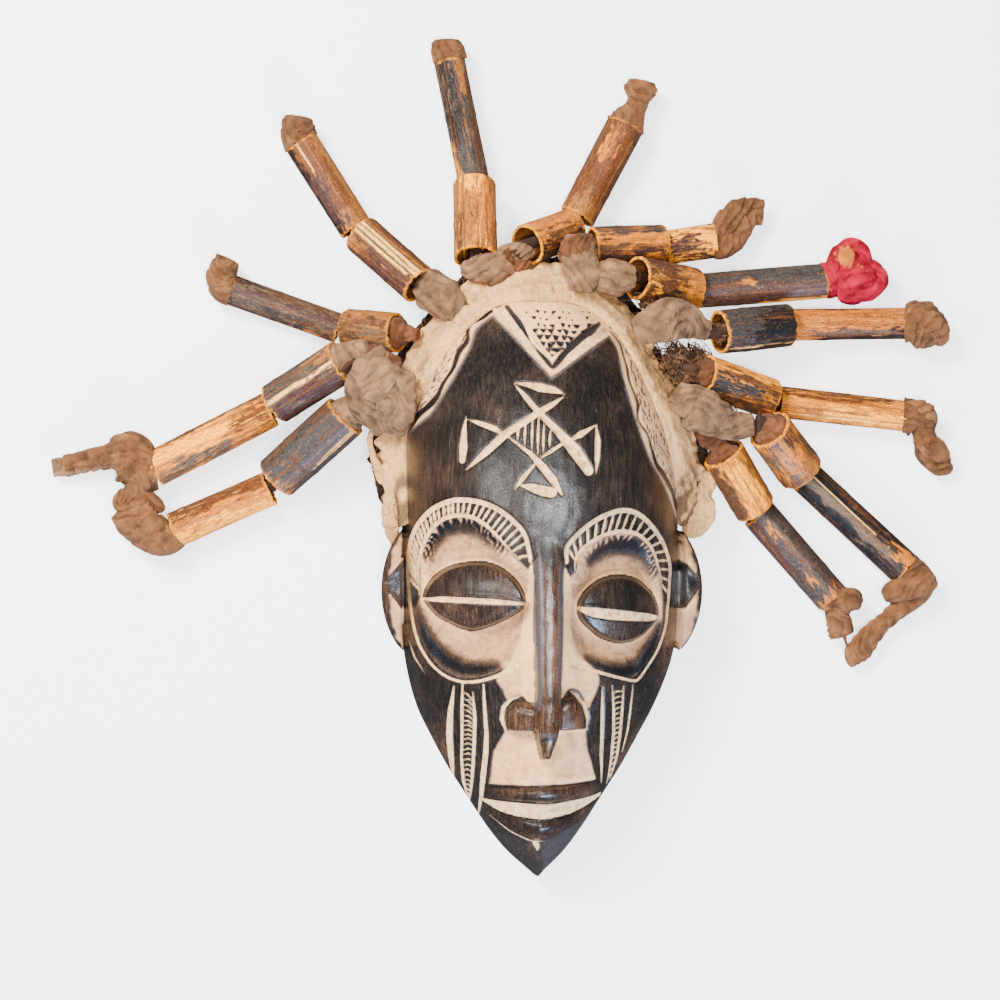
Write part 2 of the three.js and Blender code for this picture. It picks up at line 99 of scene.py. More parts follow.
# A smooth line through points of any size: each span blends its four nearest points by cubic weights
def lineThrough(points, count, closed=False):
    points = np.array(points, float)
    if closed:
        points = np.vstack([points[-1], points, points[:2]])
        t = np.linspace(0, len(points) - 3, count, endpoint=False)
    else:
        points = np.vstack([2 * points[0] - points[1], points, 2 * points[-1] - points[-2]])
        t = np.linspace(0, len(points) - 3, count)
    i = np.clip(t.astype(int), 0, len(points) - 4)
    s = (t - i)[:, None]
    a, b, c, d = (points[i + k] for k in range(4))
    return 0.5 * (2 * b + (c - a) * s + (2 * a - 5 * b + 4 * c - d) * s**2 + (3 * b - a - 3 * c + d) * s**3)


# Random drift: the sum of plane waves with random directions, and lengths near the given size
def drift(points, size, seed, count=26):
    source = np.random.default_rng(seed)
    waves = source.normal(size=(count, 3))
    waves /= np.linalg.norm(waves, axis=1, keepdims=True)
    waves *= 2 * np.pi / size * source.uniform(0.6, 1.5, (count, 1))
    phase = source.uniform(0, 2 * np.pi, count)
    return np.cos(points @ waves.T + phase).sum(axis=-1) / math.sqrt(count / 2)


# Distances from points to the edges from a to b, for the points within the margin of them: which points these
# are, how far each is from each edge, and at what share of the edge that is
def edgeDistances(x, y, a, b, margin):
    corners = np.concatenate([a, b])[:, :2]
    low, high = corners.min(axis=0) - margin, corners.max(axis=0) + margin
    near = (x > low[0]) & (x < high[0]) & (y > low[1]) & (y < high[1])
    px, py = x[near][:, None], y[near][:, None]
    ex, ey = (b - a)[:, :2].T
    t = np.clip(((px - a[:, 0]) * ex + (py - a[:, 1]) * ey) / (ex**2 + ey**2 + 1e-12), 0, 1)
    return near, np.hypot(px - a[:, 0] - t * ex, py - a[:, 1] - t * ey), t


# How far inside a closed outline each point lies: the distance to its nearest edge, negative outside. A
# point is inside where a line to the right crosses the outline an odd number of times.
def insideDistance(x, y, outline, margin=12.0):
    a = np.array(outline, float)
    b = np.roll(a, -1, axis=0)
    near, distance, _ = edgeDistances(x, y, a, b, margin)
    px, py = x[near][:, None], y[near][:, None]
    ex, ey = (b - a).T
    rise = np.where(np.abs(ey) < 1e-9, 1e-9, ey)
    crossing = ((a[:, 1] > py) != (b[:, 1] > py)) & (px < a[:, 0] + (py - a[:, 1]) / rise * ex)
    result = np.full(x.shape, -margin)
    result[near] = np.where(crossing.sum(axis=1) % 2 == 1, 1, -1) * distance.min(axis=1)
    return np.maximum(result, -margin)


# The same for a smooth closed curve through the outline's points
def insideCurve(x, y, outline, count):
    return insideDistance(x, y, lineThrough(outline, count, closed=True))


# How far inside a stroke each point lies: half the stroke's width at its nearest place, less the distance
def strokeReach(x, y, line, margin=4.0):
    line = np.array(line, float)
    near, distance, t = edgeDistances(x, y, line[:-1], line[1:], margin)
    width = line[:-1, 2] + t * (line[1:, 2] - line[:-1, 2])
    result = np.full(x.shape, -margin)
    result[near] = (width / 2 - distance).max(axis=1)
    return np.maximum(result, -margin)


# The unit vector from one point to another, and the directions across a line: sideways and upwards
def toward(start, end):
    return (end - start) / np.linalg.norm(end - start)


def acrossLine(along, upwards=(0.0, 0.0, 1.0)):
    side = np.cross(along, upwards)
    side = side / (np.linalg.norm(side, axis=-1, keepdims=True) + 1e-9)
    return side, np.cross(side, along)


# Closes a skin made of rows: each row runs back to its first point, and the end rows shrink to their middles
def closeSkin(values):
    values = np.concatenate([values, values[:, :1]], axis=1)
    first, last = (0 * values[[row]] + values[[row]].mean(axis=1, keepdims=True) for row in (0, -1))
    return np.concatenate([first, values, last])


# Builds one piece from sheets, each a grid of points with a value of every mark at each point. Points that
# meet at seams and poles are merged, and the faces are turned outwards.
def makePiece(name, sheets, material, slot, nodes, sharpAngle=None):
    points, quads, start = [], [], 0
    for sheet in sheets:
        rows, columns = sheet["points"].shape[:2]
        index = start + np.arange(rows * columns).reshape(rows, columns)
        corners = [index[:-1, :-1], index[:-1, 1:], index[1:, 1:], index[1:, :-1]]
        quads.append(np.stack(corners, axis=-1).reshape(-1, 4))
        points.append(sheet["points"].reshape(-1, 3))
        start += rows * columns
    quads = np.concatenate(quads)
    mesh = bpy.data.meshes.new(name)
    mesh.from_pydata(((np.concatenate(points) - objectMiddle) / 1000).tolist(), [], quads.tolist())
    for mark in [key for key in sheets[0] if key != "points"]:
        values = np.concatenate([s[mark].reshape(-1, *s[mark].shape[2:]) for s in sheets])
        if mark == "run":
            mesh.uv_layers.new(name=mark).data.foreach_set("uv", values[quads].astype(np.float32).ravel())
        elif values.ndim == 2:
            colors = np.column_stack([values, np.ones(len(values))]).astype(np.float32)
            mesh.attributes.new(mark, "FLOAT_COLOR", "POINT").data.foreach_set("color", colors.ravel())
        else:
            mesh.attributes.new(mark, "FLOAT", "POINT").data.foreach_set("value", values.astype(np.float32))
    work = bmesh.new()
    work.from_mesh(mesh)
    bmesh.ops.remove_doubles(work, verts=work.verts, dist=2e-6)
    bmesh.ops.recalc_face_normals(work, faces=work.faces)
    work.to_mesh(mesh)
    work.free()
    mesh.shade_smooth()
    if sharpAngle:
        mesh.set_sharp_from_angle(angle=math.radians(sharpAngle))
    piece = addObject(name, mesh)
    mesh.materials.append(material)
    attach(piece, "root")
    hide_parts(*nodes)
    return piece


# Material helpers. newMaterial starts a material, and the others add nodes to the one that was started last.
making = {}


def newMaterial(name, roughness=0.6, specular=0.5):
    material = bpy.data.materials.new(name)
    material.use_nodes = True
    making["tree"] = material.node_tree
    shader = making["tree"].nodes["Principled BSDF"]
    shader.inputs["Roughness"].default_value = roughness
    shader.inputs["Specular IOR Level"].default_value = specular
    return material, shader


def connect(value, socket):
    making["tree"].links.new(value, socket)


def addNode(kind, inputs=None, **settings):
    made = making["tree"].nodes.new("ShaderNode" + kind)
    for key, value in settings.items():
        setattr(made, key, value)
    for key, value in (inputs or {}).items():
        if isinstance(value, bpy.types.NodeSocket):
            connect(value, made.inputs[key])
        else:
            made.inputs[key].default_value = value
    return made


def addRamp(factor, stops):
    ramp = addNode("ValToRGB", {"Fac": factor})
    while len(ramp.color_ramp.elements) < len(stops):
        ramp.color_ramp.elements.new(0.5)
    for element, (position, color) in zip(ramp.color_ramp.elements, stops):
        element.position = position
        element.color = (*color, 1.0)
    return ramp.outputs["Color"]


def blendColor(factor, first, second, blend="MIX"):
    second = (*second, 1.0) if isinstance(second, tuple) else second
    return addNode("Mix", {0: factor, 6: first, 7: second}, data_type="RGBA", blend_type=blend).outputs[2]


def easeRange(value, low, high, start=0.0, end=1.0):
    inputs = {"Value": value, "From Min": low, "From Max": high, "To Min": start, "To Max": end}
    return addNode("MapRange", inputs, interpolation_type="SMOOTHSTEP").outputs["Result"]


def addMath(operation, first, second):
    return addNode("Math", {0: first, 1: second}, operation=operation).outputs["Value"]


# The sum of sockets, each times its share
def addShares(*parts):
    total = 0.0
    for value, share in parts:
        total = addNode("Math", {0: value, 1: share, 2: total}, operation="MULTIPLY_ADD").outputs["Value"]
    return total


def addNoise(vector, scale, detail=4.0, roughness=0.55, distortion=0.0):
    inputs = {"Vector": vector, "Scale": scale, "Detail": detail, "Roughness": roughness,
              "Distortion": distortion}
    return addNode("TexNoise", inputs).outputs["Fac"]


# Object coordinates in millimetres, stretched and turned
def inMillimetres(scale=(1, 1, 1), turned=(0, 0, 0)):
    inputs = {"Vector": addNode("TexCoord").outputs["Object"], "Scale": [1000 * value for value in scale],
              "Rotation": [math.radians(angle) for angle in turned]}
    return addNode("Mapping", inputs, vector_type="POINT").outputs["Vector"]


def readMark(name, output="Fac"):
    return addNode("Attribute", attribute_name=name).outputs[output]


# A colour made lighter or darker by a shade
def shadeColor(color, shade):
    grey = addNode("CombineColor", {"Red": shade, "Green": shade, "Blue": shade}).outputs["Color"]
    return blendColor(1.0, color, grey, "MULTIPLY")


# Joins the colour and a bump to the shader. height is in millimetres.
def joinShader(shader, color, height):
    connect(color, shader.inputs["Base Color"])
    bump = addNode("Bump", {"Strength": 1.0, "Distance": 0.001, "Height": height})
    connect(bump.outputs["Normal"], shader.inputs["Normal"])


# Ramps hold a place from 0 to 1 and a colour for each stop, from the darkest to the palest
woodTones = {
    "dark": [(0.34, (0.003, 0.003, 0.003)), (0.48, (0.009, 0.007, 0.006)), (0.60, (0.024, 0.017, 0.014)),
             (0.72, (0.085, 0.064, 0.052))],
    "worn": [(0.36, (0.012, 0.006, 0.004)), (0.48, (0.040, 0.018, 0.010)), (0.60, (0.120, 0.056, 0.028)),
             (0.72, (0.34, 0.185, 0.095))],
    "clay": [(0.36, (0.050, 0.027, 0.016)), (0.47, (0.16, 0.082, 0.043)), (0.63, (0.52, 0.265, 0.130)),
             (0.82, (0.88, 0.515, 0.225))],
    "cuts": [(0.28, (0.30, 0.15, 0.07)), (0.44, (0.64, 0.37, 0.17)), (0.66, (0.90, 0.62, 0.31))],
    # the near-black below is painted shade in grooves, pits and notches, and blackened wood with painted shade
    # in the eye bands
    "scuffs": (0.14, 0.115, 0.095), "dust": (0.060, 0.055, 0.056), "soot": (0.004, 0.005, 0.008),
    "grit": (0.050, 0.027, 0.016), "lines": (0.026, 0.014, 0.009),
}


# Dark oiled wood with clay rubbed into the carving. The clay, cut and darkening marks say how far inside a clay
# area, a cut or a darkened area a point is, in millimetres; the darkening is painted shade in grooves, pits and
# notches, and blackened wood with painted shade on the eye bowls' dark bands. rub is how much the dark stain is
# worn to brown, pale how thick the clay and grey dust lie, partly a painted sheen on the chin, and line how far
# a point is inside a scratched line. A little noise is added to each distance before its threshold, which frays
# the edges.
def makeWood():
    material, shader = newMaterial("oiledWood")
    place = inMillimetres()
    grain = addNoise(inMillimetres((1.0, 0.07, 0.4)), 1.1, 5.0, 0.6)
    fleck = addNoise(place, 1.3, 6.0, 0.75)
    broad = addNoise(place, 0.05, 3.0)
    dust = addNoise(place, 0.35, 6.0, 0.65)
    cloud = addNoise(place, 0.10, 3.0)
    rub, pale, clay = readMark("rub"), readMark("pale"), readMark("clay")

    tone = addShares((grain, 0.56), (fleck, 0.22), (broad, 0.22))
    worn = easeRange(addShares((rub, 1.0), (broad, 0.9)), 0.45, 1.35)
    wood = blendColor(worn, addRamp(tone, woodTones["dark"]), addRamp(tone, woodTones["worn"]))
    scratches = addNoise(inMillimetres((2.4, 0.10, 1.0), (0, 0, 24)), 0.8, 2.0)
    crossing = addNoise(inMillimetres((2.4, 0.12, 1.0), (0, 0, -38)), 0.7, 2.0)
    scuffs = easeRange(addMath("MAXIMUM", scratches, crossing), 0.68, 0.78, 0.0, 0.4)
    wood = blendColor(scuffs, wood, woodTones["scuffs"])
    dusted = easeRange(addShares((pale, 1.0), (fleck, 0.8)), 0.65, 1.35, 0.0, 0.75)
    wood = blendColor(dusted, wood, woodTones["dust"])
    # near-black painted shade, and blackened wood with painted shade on the eye bands
    shadedAndSooted = easeRange(addShares((readMark("soot"), 1.0), (fleck, 1.6)), 0.4, 2.4, 0.0, 0.9)
    wood = blendColor(shadedAndSooted, wood, woodTones["soot"])

    inClay = easeRange(addShares((clay, 1.0), (fleck, 2.2)), 0.60, 1.75)
    inCut = easeRange(addShares((readMark("cut"), 1.0), (fleck, 0.9)), 0.30, 0.72)
    layer = addShares((easeRange(clay, -0.3, 2.2, 0.0, 0.31), 1.0), (dust, 0.32), (cloud, 0.26), (fleck, 0.20),
                      (pale, 0.22))
    coating = addRamp(layer, woodTones["clay"])
    coating = blendColor(easeRange(fleck, 0.35, 0.46, 0.55, 0.0), coating, woodTones["grit"])
    color = blendColor(addMath("MULTIPLY", inClay, 0.97), wood, coating)
    color = blendColor(inCut, color, addRamp(dust, woodTones["cuts"]))
    scored = easeRange(addShares((readMark("line"), 1.0), (fleck, 1.0)), 0.40, 0.80, 0.0, 0.85)
    color = blendColor(scored, color, woodTones["lines"])

    covered = addMath("MAXIMUM", inClay, inCut)
    gloss = addShares((easeRange(fleck, 0.35, 0.70, 0.24, 0.44), 1.0), (rub, -0.08))
    rough = addNode("Mix", {0: covered, 2: gloss, 3: 0.9}, data_type="FLOAT").outputs[0]
    connect(rough, shader.inputs["Roughness"])
    height = addShares((grain, 0.10), (addMath("MULTIPLY", dust, covered), 0.9), (fleck, 0.07))
    joinShader(shader, color, height)
    return material


# The wooden face. Outlines and strokes are paths of x,y, or x,y,width where the width changes; the others give
# a value for each y, or a y for each x. rim is the width of the flat back rim, hollowShare the hollow's height
# as a share of the face's, and hollowEnds how far the hollow stays from the chin and the crown.
face = {
    "chin": -134, "crown": 152, "rim": 9, "hollowShare": 0.72, "hollowEnds": [20, 11], "rows": 380,
    "columns": 218, "backColumns": 26,
    "halfWidth": path("-134,2.5 -124,13.5 -112,23 -95,34 -82,42.3 -67,50.5 -53,57.5 -37,63 -22,66 0,66.8 "
        "30,66.8 80,66 100,61 115,53.5 128,44.5 138,35 146,25 152,12"),
    "height": path("-134,14 -124,29 -112,42 -95,55 -82,61 -67,65 -53,69 -37,73 -22,77 0,81 30,88 55,90 80,87 "
        "100,80 115,71 128,59 138,45 146,30 152,12"),
    "midline": path("-134,-1.5 -110,-2.4 -60,-2.4 -25,-0.4 40,0 80,-1.5 110,-3 152,-3"),
    "fullness": path("-134,1.5 -100,1.7 -60,2 -20,2.2 40,2.3 152,2.2"),
    "shoulder": path("-134,0.7 -100,0.62 -60,0.55 -20,0.5 152,0.5"),
    "noseTop": path("-73,77 -62,85 -45,87.6 -20,88.8 8,89.2 24,88.4 36,87.5"),
    "noseLeft": path("-73,-3.6 -68,-4.6 -60,-6.1 -44,-6.4 -17,-7.3 20,-8 36,-11"),
    "noseRight": path("-73,1.2 -68,2.6 -60,5 -44,5.9 -17,6.6 20,6.7 36,9"),
    "lipTop": path("-28,-88.6 -13.6,-86.4 0.3,-85 28,-86.5"),
    "lipBottom": path("-28,-94.4 -10.6,-94.2 0.6,-94.6 11.6,-93.7 28,-93"),
    "mouthBottom": path("-28,-96.4 -20.4,-99.8 -12.2,-101.3 -1.3,-102 10.4,-100.8 19.5,-98.2 28.3,-94.9"),
    "chinTop": path("-27.7,-100.3 -24.7,-105.8 -17.2,-109.4 -10.6,-112.6 -2.9,-113.5 3.9,-112.6 11,-109.4 "
        "17.2,-106.8 24.1,-102 28.6,-96.5"),
}
# Each eye has a rim, a bowl that goes from the brow round by the nose, a lid with a slit and a fold above it,
# two dark bands in the bowl, and ticks between rim and brow. brown is how much the lid's stain is worn.
eyes = [
    {
        "rim": path("-8.7,19 -11.5,30.6 -16.4,36.6 -21.7,41.1 -27.7,44.3 -34.8,46.2 -41.4,46.6 -46.1,45.7 "
            "-51.5,43.2 -55.7,39.7 -59.4,35 -61.8,29.9 -63.4,23.4 -64,15.7 -63.8,6.8 -63,-2.6 -61.5,-12 "
            "-59.3,-20 -56.2,-26 -51.9,-31.4 -46.4,-35.4 -39.7,-37.4 -32.5,-37 -25.3,-34.8 -19.3,-32.1 "
            "-13.3,-28.3"),
        "brow": path("-13.8,19.6 -18.7,24.5 -22.9,29.3 -27.1,33.5 -31.8,37.2 -36.6,39.1 -41.4,39.5 "
            "-46.1,38.6 -50.3,36.1 -53.9,32 -56.6,26.3 -58.5,20 -59.4,13.6 -59,7.3 -58.6,1.7"),
        "bowlRest": path("-60.6,-6 -59.6,-12.5 -57.6,-19.2 -54.6,-25 -50.6,-30 -45.4,-33.8 -39.3,-35.6 "
            "-32.8,-35.4 -26,-33.4 -19.8,-30.4 -12,-25 -5,-12 -5,8"),
        "noseSide": path("-6,-14 -6,6"),
        "lid": path("-56.9,0.9 -56,5.3 -53.3,9.9 -49.7,13.2 -44.9,16 -38.9,17.8 -32.9,18.5 -27,18 -21.6,15.9 "
            "-16.7,12.3 -13.1,8 -10.6,3.1 -9,-0.7 -14.7,-5.8 -20.7,-9.1 -26.7,-11.8 -33.9,-13.9 -39.9,-12.8 "
            "-44.7,-10.6 -50.2,-7.8 -53.8,-4.2"),
        "slit": path("-56.8,0.4,1.4 -48.4,0.8,2.8 -36.4,0.6,2.8 -24.4,0.2,2.7 -9.4,-0.7,1.2"),
        "darkAbove": path("-55.4,20.7,1.6 -52.7,28.6,4.4 -47.3,34.3,5.9 -40.2,36.2,6.2 -31.2,34.1,5.6 "
            "-25.3,29.3,4.4 -21.1,25.1,1.6"),
        "darkBelow": path("-61.2,0.8,1.2 -59.9,-7.3,2.8 -57.5,-14.7,5 -52.6,-22.4,5.9 -46.5,-28.3,6.2 "
            "-39.2,-31.6,5.6 -31.3,-31.6,4.1 -24.1,-30.1,1.6"),
        "fold": path("-56.6,8.1,0.6 -52.1,14.3,1.4 -46.1,18.9,1.8 -38.9,21.1,1.8 -30.6,21.9,1.8 "
            "-24.6,21.3,1.8 -19.8,19,1.4 -14.9,14.7,0.6"),
        "lidMiddle": [-33.2, 1.8], "lidSize": [24.5, 17], "brown": 0.24,
        "ticks": 31, "tickFrom": 0.02, "tickTo": 0.97,
    },
    {
        "rim": path("7.5,18.4 7.5,25.1 11.2,29.8 16,34.2 22.2,38.3 28.5,40.9 33.7,41.9 39,41.1 44.6,38 "
            "49.6,33.3 54.2,27.6 57.6,21.1 59.4,14.7 59.2,7.1 58.5,-2.3 57.5,-11.7 55.6,-17.9 52.5,-24.6 "
            "48.3,-30.7 43.7,-36.7 40.9,-37.5 34.1,-35.7 26.8,-33.5 19.7,-31.3 14,-30 10.3,-29"),
        "brow": path("11.4,14.7 11.6,19 13.1,22.7 17.4,26.8 22.3,29.6 27.4,31.4 32.5,32.3 37.8,31.8 42.6,30 "
            "46.8,26.5 49.8,22.1 52.1,16.4 53.8,10.7 55.1,5.5"),
        "bowlRest": path("56,-2 55.4,-11 53.6,-17.2 50.6,-23.6 46.4,-29.6 42.4,-34.6 40,-35.4 33.8,-33.9 "
            "26.8,-31.9 19.7,-29.8 13,-27 5,-12 5,6"),
        "noseSide": path("5,-14 5,6"),
        "lid": path("13.3,-2.5 14.1,1.2 16.5,4.9 19.6,7.9 23.9,10.6 30.3,12.2 36.2,11.9 42.3,9.9 47.3,6 "
            "51,1.4 53.4,-6.9 50.5,-11.8 46.3,-15.9 41.5,-18.7 34.9,-20 29,-18.8 23.2,-16.2 18.1,-12 "
            "14.3,-7.7"),
        "slit": path("14.1,-3.1,2.2 20.5,-4.7,4.4 28.1,-5.7,5 37.3,-6.7,4.6 47.6,-7.8,3.7 52.3,-8.2,1.9"),
        "darkAbove": path("19.4,19.6,1.6 24.3,24.4,4.4 31.3,26.8,6.6 37.9,26.2,6.9 43.4,23.8,5.6 "
            "47.7,19.4,3.7 50.4,13.3,1.6"),
        "darkBelow": path("18.3,-27.2,0.9 23.5,-29.6,2.8 30,-32,4.4 37.3,-33.4,5.3 43.4,-30.9,5 48,-24.9,4.4 "
            "51.8,-18.8,3.1 53.9,-12,1.2"),
        "fold": path("13.4,4.9,0.6 17.7,9.8,1.4 23.9,14,1.8 30.2,15.8,1.8 36.8,15.3,1.8 42.9,13,1.8 "
            "47.9,8.4,1.4 52.5,1.9,0.6"),
        "lidMiddle": [33.6, -4.2], "lidSize": [21.5, 16.8], "brown": 0.22,
        "ticks": 19, "tickFrom": 0.08, "tickTo": 0.97,
        # a row of shallow strokes
        "slitMarks": [[[20.2 + 2.45 * k, -4.0 - 0.11 * k + 0.4 * (k % 3), 0.5],
                       [20.5 + 2.45 * k + 0.5 * (-1) ** k, -5.6 - 0.11 * k - 0.3 * (k % 2), 0.75]]
                      for k in range(11)],
    },
]
# Depths and heights of the carving, and its lines. The strokes are the cross, two lines on each cheek, the
# edges of the nostrils, the chin and the edge of the left socket; vee is the pale V at the hairline.
carving = {
    "depth": 1.15, "rimDepth": 1.3, "bowlDepth": 9.5, "lidBulge": 11, "slitDepth": 1.5, "foldHeight": 0.8,
    "grooveAt": 2.7, "grooveDepth": 1.5, "netCell": [4.0, 3.2], "pitDepth": 1.5, "veeDepth": 1.4,
    "wingHeight": 6.5, "upperLip": 5.2, "lowerLip": 5.6, "chinRidge": 2.6, "browLevel": 34,
    "darkMiddle": [0.9, 101.9],
    "strokes": paths(
        "-15.9,99.8,0.4 -10,99,2.3 -4.2,97.6,4.1 2.2,96.4,3 6.8,94.7,0.4",
        "-16.1,99.3,0.4 -11.1,93.5,2.4 -5.4,86.3,2.6 3.3,77.7,3.5 11.1,68.8,5.8 17.2,59.8,4.5",
        "-37.9,60.2,0.5 -28.9,68.4,3.5 -20.1,76.5,3.5 -13.3,80.9,3.1 -5.4,86,3 0.5,89.5,2.6 6.6,93.6,0.4",
        "-36.8,83.2,0.6 -30.7,81.1,2.4 -24.9,78.8,2.6 -20.4,75.7,1",
        "-19.6,75.5,0.8 -14.4,71.5,1.4 -9.1,67.4,2 -3.7,61.5,3.6 1.1,55.6,3.8 5.1,49,1",
        "-16.4,51,0.5 -12.5,56.6,2.4 -7.1,62.8,1",
        "-4.7,65.3,0.5 0.2,68.6,1.9 5.2,71.9,1.4",
        "9.1,73.7,1 13.6,76.2,3.1 21.3,80.8,0.5",
        "-37.8,84.7,0.4 -38.7,77.5,2.4 -39,70.6,3.6 -39.5,64.4,2.5",
        "21,81,0.5 21.6,73.3,2.8 21.3,66,2.5 20.7,58.1,0.4",
        "-13.5,53.2,1 -8.6,52.2,3.8 -3.7,50.7,4.8 0.4,50,4.8",
        "-42.7,-39.6,0.8 -44.2,-52.1,2.6 -44.5,-64,3.2 -43.3,-76.6,2.6 -41.6,-88.6,0.6",
        "-29.5,-38.1,0.9 -28.7,-50.8,1.7 -27.8,-61.8,2 -27.9,-70.1,2.4 -28.9,-83.5,2.5 -29.8,-105.4,0.7",
        "25.3,-39.2,0.8 25.7,-50.8,1.7 26.1,-61.9,1.9 26.4,-73.2,1.9 27.7,-87.3,0.7",
        "40.7,-39.4,0.7 40.1,-52,1.3 39.6,-61.9,1.3 37.9,-73.1,0.7",
        "-18.9,-60.5,0.9 -21,-54,2 -20.3,-48.6,2 -17.1,-44.7,1.6 -11.6,-42.8,0.6",
        "18.2,-59.9,0.9 18.7,-54.1,1.7 16.8,-47.7,1.9 12.7,-42.7,1.4 9.4,-40.5,0.6",
        "-25,-103,0.3 -16,-109.8,0.8 -7,-113.6,0.9 2,-114.2,0.3",
        "-5.4,-114.5,0.6 -3.4,-115.8,2.8 -3,-118.5,0.6",
        "-63.6,-20,0.4 -60.8,-28,0.9 -56,-35,0.4"),
    "hatchAt": path("-14.3,80.1,73.7 -11.2,81.1,71.3 -8,83.1,68.3 -5.3,84.1,66.9 -2.9,80.6,66.9 0,77.7,70.3"),
    "ladders": [
        {"from": path("-38.9,-38.2,0.9 -39.1,-51.6,1.6 -38.8,-63,1.3 -38.8,-75,1.3 -37.5,-87.2,1.6 "
            "-34.1,-99.4,0.7"),
         "to": path("-34.2,-41.9,0.7 -33.1,-54.8,1.7 -33.2,-66.1,1.6 -33.6,-82.1,1.5 -34.1,-98.3,0.7"),
         "rungs": 21, "slope": -2.0},
        {"from": path("35.9,-39.7,0.8 35.8,-51.5,1.5 35.6,-62.9,1.6 35,-74.6,1.6 32.7,-87.4,0.7"),
         "to": path("30.1,-38.7,0.8 31.4,-51.2,1.5 32,-62.5,1.6 31.9,-74,1.6 31.2,-89.1,0.7"),
         "rungs": 17, "slope": -1.2},
    ],
    "vee": paths(
        "-21.6,138.2,3.7 -15.2,126.4,4.4 -7.7,115.2,3.9 0.9,103.5,0.6",
        "-13.2,136.6,1.3 -6.6,119,1.7 2,109.1,0.6",
        "29.1,125.3,3.9 19.2,119.3,4.6 10.3,111.9,3.9 1.5,103.5,0.6"),
    "veeDark": paths(
        "-17.6,137.2,1.6 -12.8,128.6,3 -6.6,118.2,2.8 1.3,107.4,1.5",
        "25.6,129.2,1.4 20,124.5,4.2 12.8,117.8,4.8 6,111.4,3.2 1.9,107.2,1.6"),
    "netPatch": path("-10.9,136.6 0.2,138 23.1,136.3 26.2,130.7 13.6,120.1 1.6,110.9 -3.1,117.1 -7.2,124.8"),
    "darkLeft": path("-80,-150 -80,20 -67,36 -64.8,58.6 -64.2,73.6 -62.8,79 -54.4,85.9 -49.8,92.2 "
        "-43.6,102.2 -38,112.4 -34.7,119 -32,126.4 -24.6,132.6"),
    "darkRight": path("30,123.2 33.6,116.2 34.9,105.7 37.9,92.7 42.3,78.1 48.3,63.7 52.1,58.3 57,50 66,34 "
        "80,20 80,-150"),
    "lipPlane": path("-19.3,-59 -7.1,-59 7,-59 18.2,-59 19.4,-68.8 24.4,-84.8 -26.4,-86.4 -24.9,-69.8"),
    "besideNose": paths(
        "-24,-35 -18,-27 -13,-12 -11,4 -9.5,17 -3,17 -3,-46 -12.5,-43.5 -18.5,-45.5 -21,-41",
        "3,16 8.5,14 11.5,2 11,-12 15,-24 24,-34.5 21,-46 18.5,-50 14.5,-42 9.5,-40.5 3,-46"),
    "wings": paths(
        "-18.2,-66 -19.3,-53 -17.9,-48.2 -14.6,-45.6 -9,-46 0,-49 3,-66",
        "-3,-66 -2,-49 5,-45 10.4,-43 14.5,-45 16.9,-50.4 17.5,-66"),
}


farOutside = -9.0  # what a mark holds away from its own area


def faceAt(key, at):
    return valueThrough(face[key], at)


# How far to the side a point is: 0 on the face's middle line, 1 at its rim
def sideShare(x, y):
    return abs(x - faceAt("midline", y)) / faceAt("halfWidth", y)


# Height of the plain domed face: the height at the middle, times how far the section has risen there
def domeHeight(x, y):
    rise = (1 - np.clip(sideShare(x, y), 0, 1) ** faceAt("fullness", y)) ** faceAt("shoulder", y)
    return faceAt("height", y) * rise * ((y >= face["chin"]) & (y <= face["crown"]))


# Short strokes from one line to another, at even shares of their lengths
def rungsBetween(first, second, count, start, end, width, slope=0.0):
    shares = np.linspace(start, end, count)
    a, b = (lineThrough(np.array(line, float)[:, :2], 200) for line in (first, second))
    starts, ends = a[(shares * 199).astype(int)], b[(shares * 199).astype(int)]
    middle = (starts + ends) / 2
    return [[[*s, 0.35 * width], [*m, width], [e[0], e[1] + slope, 0.5 * width]]
            for s, m, e in zip(starts, middle, ends)]


